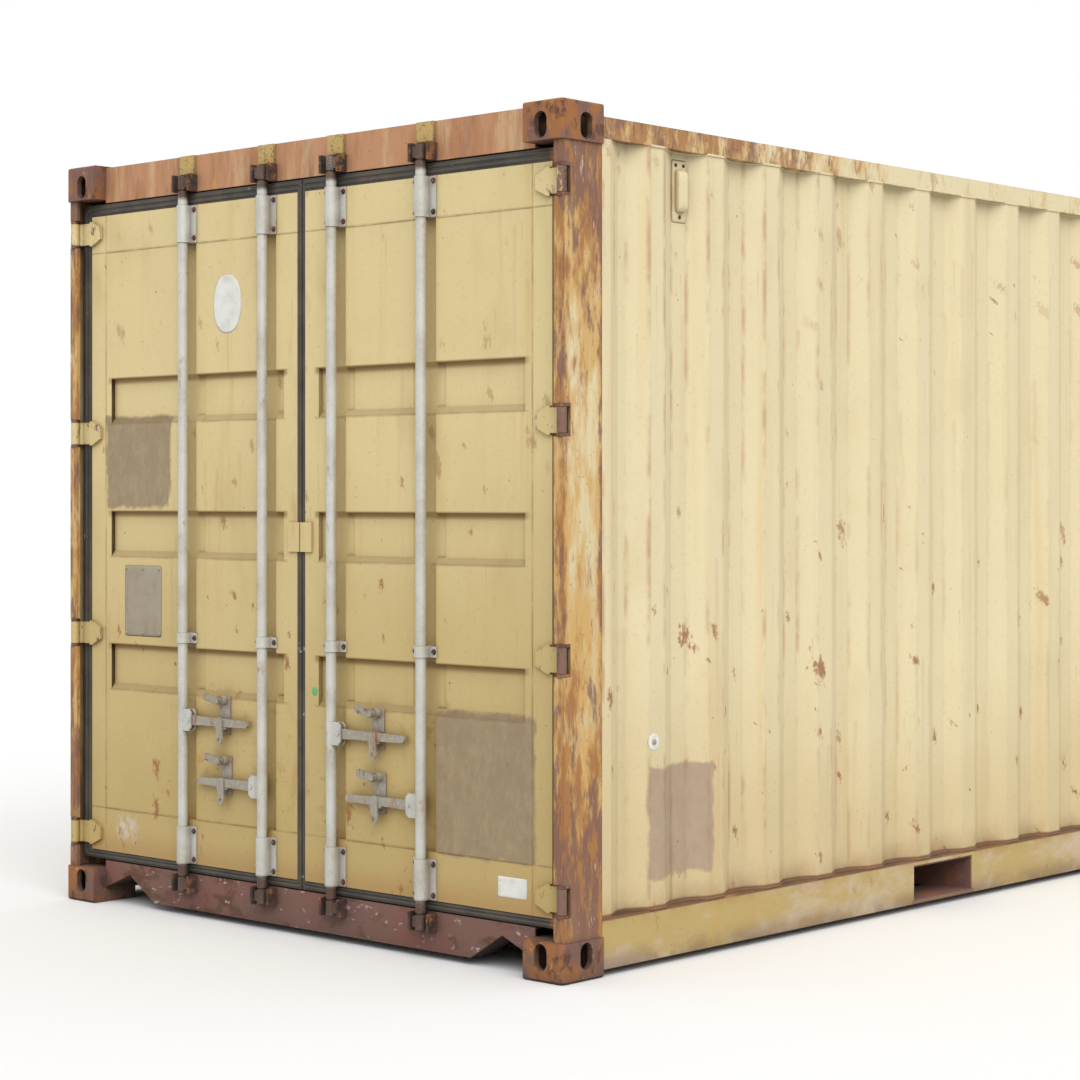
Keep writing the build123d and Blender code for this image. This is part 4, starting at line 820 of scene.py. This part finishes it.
class CONTAINER_OT_paint_box(Operator):
    """Paint, rust and coat the frame, walls, roof and floor"""
    bl_idname = "container.paint_box"
    bl_label = "Paint the box"

    def execute(self, context):
        c = shades(context)
        wear = context.scene.container_wear
        dress(wall_paint("wall_paint", c, wear, WALL_PATCHES), "side_wall_right")
        dress(wall_paint("wall_paint_plain", c, wear), "side_wall_left", "vents")
        dress(end_paint("end_paint", c, wear), "front_wall", "roof")
        dress(rail_paint("rail_paint", c, wear), "bottom_side_rails")
        rail_ends = (("x", REAR + 2.2, REAR + 0.2), ("x", FRONT - 2.2, FRONT - 0.2))
        stains = ((c.ochre, 0.50, 0.74, 0.6), (c.rust, 0.58, 0.76, 0.80), (c.mauve, 0.68, 0.80, 0.7))
        dress(stained_paint("top_rail_paint", c, c.wall, c.wall_low, stains, (1.0, 1.0, 0.35), 14.0,
                            rail_ends), "top_side_rails")
        post_ends = (("z", 1.6, 2.5), ("z", 1.5, 0.1), ("along", FRONT - 0.050, FRONT + 0.012),
                     ("along", -POST_HIGH.x + 0.040, -POST_HIGH.x - 0.012))
        stains = ((c.ochre, 0.40, 0.62, 0.80), (c.rust, 0.54, 0.74, 0.85),
                  (c.mauve, 0.64, 0.76, 0.8), (c.scrape, 0.84, 0.90, 0.6))
        dress(stained_paint("post_paint", c, c.wall, c.wall_low, stains, (1.0, 1.0, 0.24), 14.0,
                            post_ends), "rear_posts", "front_posts")
        stains = ((c.old_rust, 0.48, 0.82, 0.7), (c.wall_low, 0.52, 0.74, 0.6),
                  (c.rust, 0.50, 0.66, 0.4), (c.ochre, 0.60, 0.74, 0.5))
        dress(stained_paint("header_paint", c, c.header, c.header, stains, (1.0, 1.0, 0.22), 7.0),
              "door_header", "front_header")
        dress(scraped_steel("casting_steel", c, "mauve rust old_rust ochre", (1.0, 1.0, 0.7), 11.0),
              "corner_castings_top", "corner_castings_bottom")
        dress(scraped_steel("sill_paint", c, "sill mauve old_rust scrape", (1.0, 0.5, 1.0), 6.0),
              "door_sill", "front_sill")
        dress(scraped_steel("lug_steel", c, "mauve old_rust rust scrape", (1.0, 1.0, 0.5), 24.0),
              "hinge_lugs")
        dress(scraped_steel("keeper_steel", c, "old_rust under rust ochre", (1.0, 1.0, 1.0), 20.0,
                            c.guard), "cam_keepers")
        dress(floor_ply("floor_ply", c), "floor_boards")
        dress(under_coat("under_coat", c, c.under), "cross_members")
        dress(under_coat("pocket_coat", c, c.mauve), "fork_pockets")
        return {"FINISHED"}


class CONTAINER_OT_paint_doors(Operator):
    """Paint the leaves with their rolled-over patches, and dress seals and hinges"""
    bl_idname = "container.paint_doors"
    bl_label = "Paint the doors"

    def execute(self, context):
        c = shades(context)
        wear = context.scene.container_wear
        rubber = seal_rubber("seal_rubber", c)
        stains = ((c.ochre, 0.52, 0.80, 0.5), (c.mauve, 0.57, 0.64, 0.95),
                  (c.under, 0.70, 0.90, 0.7))
        barrel = (("out", BARREL_EDGE - 0.006, BARREL_EDGE),)
        ends = {"left_door": (), "right_door": barrel}
        for leaf, _ in LEAVES:
            hinge = stained_paint(leaf + "_hinge_paint", c, c.door, c.door_low, stains,
                                  (1.0, 1.0, 0.5), 18.0, ends[leaf])
            dress(door_paint(leaf + "_paint", c, wear, DOOR_PATCHES[leaf], DOOR_SCUFFS[leaf]),
                  leaf + "_frame", leaf + "_panel", leaf + "_meeting_plate")
            dress(hinge, leaf + "_hinges")
            dress(rubber, leaf + "_gasket")
        return {"FINISHED"}


class CONTAINER_OT_paint_gear(Operator):
    """Galvanise the lock rods, brackets and handles and rust the catches"""
    bl_idname = "container.paint_gear"
    bl_label = "Galvanise the lock gear"

    def execute(self, context):
        c = shades(context)
        zinc = zinc_coat("zinc_coat", c, c.zinc, 0.60)
        handled = zinc_coat("handled_zinc", c, c.handle, 0.54)
        worn = scraped_steel("catch_steel", c, "handle plate mauve rust", (1.0, 1.0, 1.0), 30.0)
        for number in range(1, 5):
            dress(zinc, f"lock_rod_{number}")
            dress(handled, f"handle_{number}")
            dress(worn, f"catch_{number}")
        for leaf, _ in LEAVES:
            dress(zinc, leaf + "_rod_brackets")
            dress(handled, leaf + "_handle_retainers")
        return {"FINISHED"}


class CONTAINER_OT_bolts(Operator):
    """Bolt the rod brackets and guides to the leaves"""
    bl_idname = "container.bolts"
    bl_label = "Bolts"

    def execute(self, context):
        c = shades(context)
        sizes = context.scene.container_sizes
        steel = scraped_steel("bolt_steel", c, "old_rust under rust zinc", (1.0, 1.0, 1.0), 60.0)
        face = DOOR_FACE - BRACKET_PLATE
        for leaf, side in LEAVES:
            rods = [rod[1] for rod in RODS if rod[1] * side > 0]
            centres = [(face, y + dy, z + dz) for y in rods for z in BRACKET_HEIGHTS
                       for dy in (-BRACKET_BOLT_Y, BRACKET_BOLT_Y)
                       for dz in (-BRACKET_BOLT_Z, BRACKET_BOLT_Z)]
            centres += [(face, y + dy, GUIDE_HEIGHT) for y in rods for dy in (-GUIDE_BOLT_Y, GUIDE_BOLT_Y)]
            heads = bolt_heads(centres, OUT_OF_DOOR, ALONG_Y, sizes.bolt)
            put(leaf + "_bolts", leaf, steel, heads, False)
        return {"FINISHED"}


class CONTAINER_OT_seals(Operator):
    """Lay two rubber lips around each leaf"""
    bl_idname = "container.seals"
    bl_label = "Seal lips"

    def execute(self, context):
        lip = context.scene.container_sizes.lip
        rubber = bpy.data.materials["seal_rubber"]
        for leaf, side in LEAVES:
            shapes = []
            for share in (0.30, 0.72):
                pairs = ((LEAF_LOW, SEAL_LOW), (LEAF_HIGH, SEAL_HIGH))
                low, high = ([a + (b - a) * share for a, b in zip(*pair)] for pair in pairs)
                y0, y1 = sorted((side * low[1], side * high[1]))
                path, normal = rounded_loop(y0, y1, low[2], high[2], SEAL_LOW.x, 0.010)
                shapes.append(carried(path, normal, OUT_OF_DOOR, half_round(lip, 0.0035), True))
            put(leaf + "_seal_lips", leaf, rubber, shapes)
        return {"FINISHED"}


class CONTAINER_OT_welds(Operator):
    """Run weld beads along the walls, corners and door panels"""
    bl_idname = "container.welds"
    bl_label = "Weld beads"

    def execute(self, context):
        half = context.scene.container_sizes.weld
        wall = bpy.data.materials["wall_paint_plain"]
        for name, side in (("left", 1.0), ("right", -1.0)):
            shapes = []
            place = np.arange(FOLD_START, WALL_HIGH.x - 0.02, WELD_STEP)
            line = side * (WALL_HIGH.y - fold_depth(place))
            ripple = 1.0 + 0.15 * np.sin(place / WELD_RIPPLE * 2 * np.pi) + 0.12 * np.sin(place * 23.0)
            ripple[[0, -1]] = 0.0
            for level, out in ((WALL_HIGH.z, -1.0), (WALL_LOW.z, 1.0)):
                path = np.column_stack([place, line, np.full(len(place), level)])
                profile = half_round(half, half)
                shapes.append(carried(path, (0.0, 0.0, out), (0.0, side, 0.0), profile, False, ripple))
            edge = [(x, side * ROOF_HIGH.y, TOP_RAIL_HIGH.z) for x in (WALL_LOW.x + 0.01, WALL_HIGH.x - 0.01)]
            shapes.append(bead(*edge, ALONG_Y, UP, half * 1.3))
            put(f"wall_weld_{name}", "frame", wall, shapes)
        for leaf, side in LEAVES:
            paint = bpy.data.materials[leaf + "_paint"]
            y1 = side * PANEL_HIGH.y
            inner, outer = sorted(abs(rod[1]) for rod in RODS if rod[1] * side > 0)
            spans = [(inner + ROD_CHANNEL, outer - ROD_CHANNEL), (outer + ROD_CHANNEL, PANEL_HIGH.y)]
            shapes = [bead((DOOR_FACE, side * a, z), (DOOR_FACE, side * b, z), UP, OUT_OF_DOOR, half * 0.5)
                      for a, b in spans for z in (PANEL_LOW.z, PANEL_HIGH.z)]
            shapes.append(bead((DOOR_FACE, y1, PANEL_LOW.z), (DOOR_FACE, y1, PANEL_HIGH.z), ALONG_Y,
                               OUT_OF_DOOR, half * 0.5))
            put(leaf + "_welds", leaf, paint, shapes)
        return {"FINISHED"}


class CONTAINER_OT_vents(Operator):
    """Put the flanged covers and their bolts on the ventilators"""
    bl_idname = "container.vents"
    bl_label = "Vent covers"

    def execute(self, context):
        sizes = context.scene.container_sizes
        tall = (VENT_HIGH.z - VENT_LOW.z) / 2
        recess = VENT_HIGH.y - VENT_PROUD
        shapes, heads = [], []
        for side, x in ((-1.0, VENT_LOW.x + sizes.vent), (1.0, VENT_HIGH.x - sizes.vent)):
            out = (0.0, side, 0.0)
            along = (-side, 0.0, 0.0)
            middle = (x, side * recess, VENT_LOW.z + tall)
            shapes.append(plates(middle, along, UP, sizes.vent, tall, VENT_FLANGE, 14.0))
            hood = (sizes.vent * VENT_HOOD, tall * VENT_HOOD)
            shapes.append(plates(middle, along, UP, *hood, VENT_PROUD, 9.0))
            edge = side * (recess + VENT_FLANGE)
            bolts = [(x + dx, edge, VENT_HIGH.z - VENT_BOLT) for dx in (-VENT_BOLT, VENT_BOLT)]
            bolts.append((x, edge, VENT_LOW.z + VENT_BOLT))
            heads += bolt_heads(bolts, out, ALONG_X, sizes.bolt * 0.6)
        covers = put("vent_covers", "frame", bpy.data.materials["wall_paint_plain"], shapes)
        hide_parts("vents")
        put("vent_bolts", "frame", bpy.data.materials["bolt_steel"], heads, False)
        return {"FINISHED"}


class CONTAINER_OT_inside(Operator):
    """Hang lashing rings along the walls and screw the floor down"""
    bl_idname = "container.inside"
    bl_label = "Rings and screws"

    def execute(self, context):
        sizes = context.scene.container_sizes
        steel = bpy.data.materials["bolt_steel"]
        first = FOLD_START + FOLD_OUTER / 2 + FOLD_PITCH
        places = np.arange(first, WALL_HIGH.x - FOLD_PITCH, 3 * FOLD_PITCH)
        reach = WALL_HIGH.y - 0.024
        level = FLOOR_HIGH.z + RING_RISE
        shapes = [ring((x, side * reach, level), sizes.ring, RING_BAR) for x in places for side in (-1, 1)]
        for side in (-1.0, 1.0):
            pins = [(x, side * (WALL_HIGH.y - 0.001), level + sizes.ring) for x in places]
            stud = [(0.009, 0.0), (0.009, 0.034), (0.0, 0.036)]
            shapes.append(turned(stud, pins, (0.0, -side, 0.0), ALONG_X, 10))
        put("lashing_rings", "frame", steel, shapes)
        rows = np.linspace(FLOOR_LOW.y + SCREW_EDGE, FLOOR_HIGH.y - SCREW_EDGE, SCREW_ROWS)
        beams = np.linspace(BEAM_LOW.x, BEAM_HIGH.x, SCREW_BEAMS)
        grid = [(x, y, FLOOR_HIGH.z - 0.001) for x in beams for y in rows]
        put("floor_screws", "frame", steel, rivet_heads(grid, UP, ALONG_X, sizes.rivet * 0.8))
        return {"FINISHED"}


class CONTAINER_OT_labels(Operator):
    """Rivet the bare plate and stick the blank labels"""
    bl_idname = "container.labels"
    bl_label = "Plate and labels"

    def execute(self, context):
        c = shades(context)
        sizes = context.scene.container_sizes
        white = blank_label("label_vinyl", c, c.label)
        metal = blank_label("plate_metal", c, c.plate, 0.75)
        green = blank_label("green_vinyl", c, c.dot)
        across = (0.0, -1.0, 0.0)
        plate = (DOOR_FACE, 0.8365, 1.065)
        oval = (DOOR_FACE, 0.3785, 2.072)
        strip = (DOOR_FACE, -0.966, 0.254)
        dot = (REAR + 0.409, -WALL_HIGH.y, 0.680)
        spot = (DOOR_FACE, -0.067, 0.797)
        rows = (("data_plate", "left_door", metal, plate, across, 0.104, 0.124, 0.003, 24.0),
                ("oval_label", "left_door", white, oval, across, 0.073, 0.099, 0.0012, 2.3),
                ("strip_label", "right_door", white, strip, across, 0.062, 0.031, 0.001, 20.0),
                ("dot_label", "frame", white, dot, ALONG_X, 0.026, 0.026, 0.001, 2.0),
                ("green_dot", "right_door", green, spot, across, 0.014, 0.014, 0.001, 2.0))
        for name, body, material, centre, along, *sheet in rows:
            put(name, body, material, [plates(centre, along, UP, *sheet)])
        edge = [(DOOR_FACE - 0.0028, plate[1] + dy, plate[2] + dz)
                for dy in (-0.092, 0.0, 0.092) for dz in (-0.112, 0.112)]
        put("data_plate_rivets", "left_door", metal,
            rivet_heads(edge, OUT_OF_DOOR, ALONG_Y, sizes.rivet))
        stud = rivet_heads([(dot[0], dot[1] - 0.001, dot[2])], across, ALONG_X, sizes.rivet * 1.6)
        put("dot_stud", "frame", metal, stud)
        return {"FINISHED"}


class CONTAINER_OT_stage(Operator):
    """Set the floor, the light and the camera"""
    bl_idname = "container.stage"
    bl_label = "Studio"

    def execute(self, context):
        stage = context.scene.container_stage
        scene = context.scene
        f = Finish("studio_floor")
        camera_ray = f.node("ShaderNodeLightPath", out="Is Camera Ray")
        away = (f.x * f.x / FLOOR_FADE[0] + f.y * f.y / FLOOR_FADE[1]).root()
        fade = f.rise(away, 0.7, 1.5) * camera_ray
        tone = f.mix(camera_ray, FLOOR_TONE, FLOOR_SEEN)
        floor = f.node("ShaderNodeBsdfDiffuse", {}, {"Color": tone})
        white = f.node("ShaderNodeEmission", {}, {"Color": WHITE, "Strength": 1.0})
        both = f.node("ShaderNodeMixShader", {}, {0: fade, 1: floor, 2: white})
        f.node("ShaderNodeOutputMaterial", {}, {"Surface": both})
        points, quads = plates((0.0, 0.0, -0.004), ALONG_X, ALONG_Y, FLOOR_REACH, FLOOR_REACH, 0.002, 2.0)
        mesh = bpy.data.meshes.new("studio_floor")
        mesh.from_pydata(points.tolist(), [], quads.tolist())
        mesh.materials.append(f.material)
        ground = bpy.data.objects.new("studio_floor", mesh)
        scene.collection.objects.link(ground)
        world = bpy.data.worlds.new("studio")
        scene.world = world
        world.use_nodes = True
        w = NodeMaker(world.node_tree)
        path = w.node("ShaderNodeLightPath").outputs()
        seen = path[0] | path[3] | path[6]
        even = w.node("ShaderNodeBackground", {}, {"Color": WHITE, "Strength": stage.sky})
        plain = w.node("ShaderNodeBackground", {}, {"Color": WHITE, "Strength": 1.0})
        mixed = w.node("ShaderNodeMixShader", {}, {0: seen, 1: even, 2: plain})
        w.node("ShaderNodeOutputWorld", {}, {"Surface": mixed})
        lamp = bpy.data.lights.new("soft_sun", "SUN")
        lamp.energy = stage.key
        lamp.angle = SUN_SOFT
        sun = bpy.data.objects.new("soft_sun", lamp)
        sun.rotation_euler = SUN_TURN
        scene.collection.objects.link(sun)
        lens = bpy.data.cameras.new("camera")
        lens.lens = stage.lens
        lens.sensor_width = 36.0
        lens.shift_x, lens.shift_y = stage.shift
        lens.clip_end = 200.0
        camera = bpy.data.objects.new("camera", lens)
        camera.location = stage.eye
        camera.rotation_euler = (math.radians(90.0), 0.0, stage.heading)
        scene.collection.objects.link(camera)
        scene.camera = camera
        scene.view_settings.view_transform = "Standard"
        return {"FINISHED"}


PIECES = (CONTAINER_OT_paint_box, CONTAINER_OT_paint_doors, CONTAINER_OT_paint_gear, CONTAINER_OT_bolts,
          CONTAINER_OT_seals, CONTAINER_OT_welds, CONTAINER_OT_vents, CONTAINER_OT_inside,
          CONTAINER_OT_labels, CONTAINER_OT_stage)


class CONTAINER_PT_panel(Panel):
    """Lists the container's colours, sizes, wear, stage and steps"""
    bl_label = "Cargo container"
    bl_idname = "CONTAINER_PT_panel"
    bl_space_type = "VIEW_3D"
    bl_region_type = "UI"
    bl_category = "Container"

    def draw(self, context):
        for key, group in GROUPS.items():
            for prop in group.__annotations__:
                self.layout.prop(getattr(context.scene, key), prop)
        for piece in PIECES:
            self.layout.operator(piece.bl_idname)


GROUPS = {"container_colours": ContainerColours, "container_sizes": ContainerSizes,
          "container_wear": ContainerWear, "container_stage": ContainerStage}
CLASSES = (*GROUPS.values(), *PIECES, CONTAINER_PT_panel)


def register():
    for cls in CLASSES:
        bpy.utils.register_class(cls)
    for key, group in GROUPS.items():
        setattr(bpy.types.Scene, key, PointerProperty(type=group))


def unregister():
    for key in GROUPS:
        delattr(bpy.types.Scene, key)
    for cls in reversed(CLASSES):
        bpy.utils.unregister_class(cls)


def main():
    register()
    for piece in PIECES:
        getattr(bpy.ops.container, piece.bl_idname.split(".")[1])()
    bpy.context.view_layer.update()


if __name__ == "__main__":
    main()
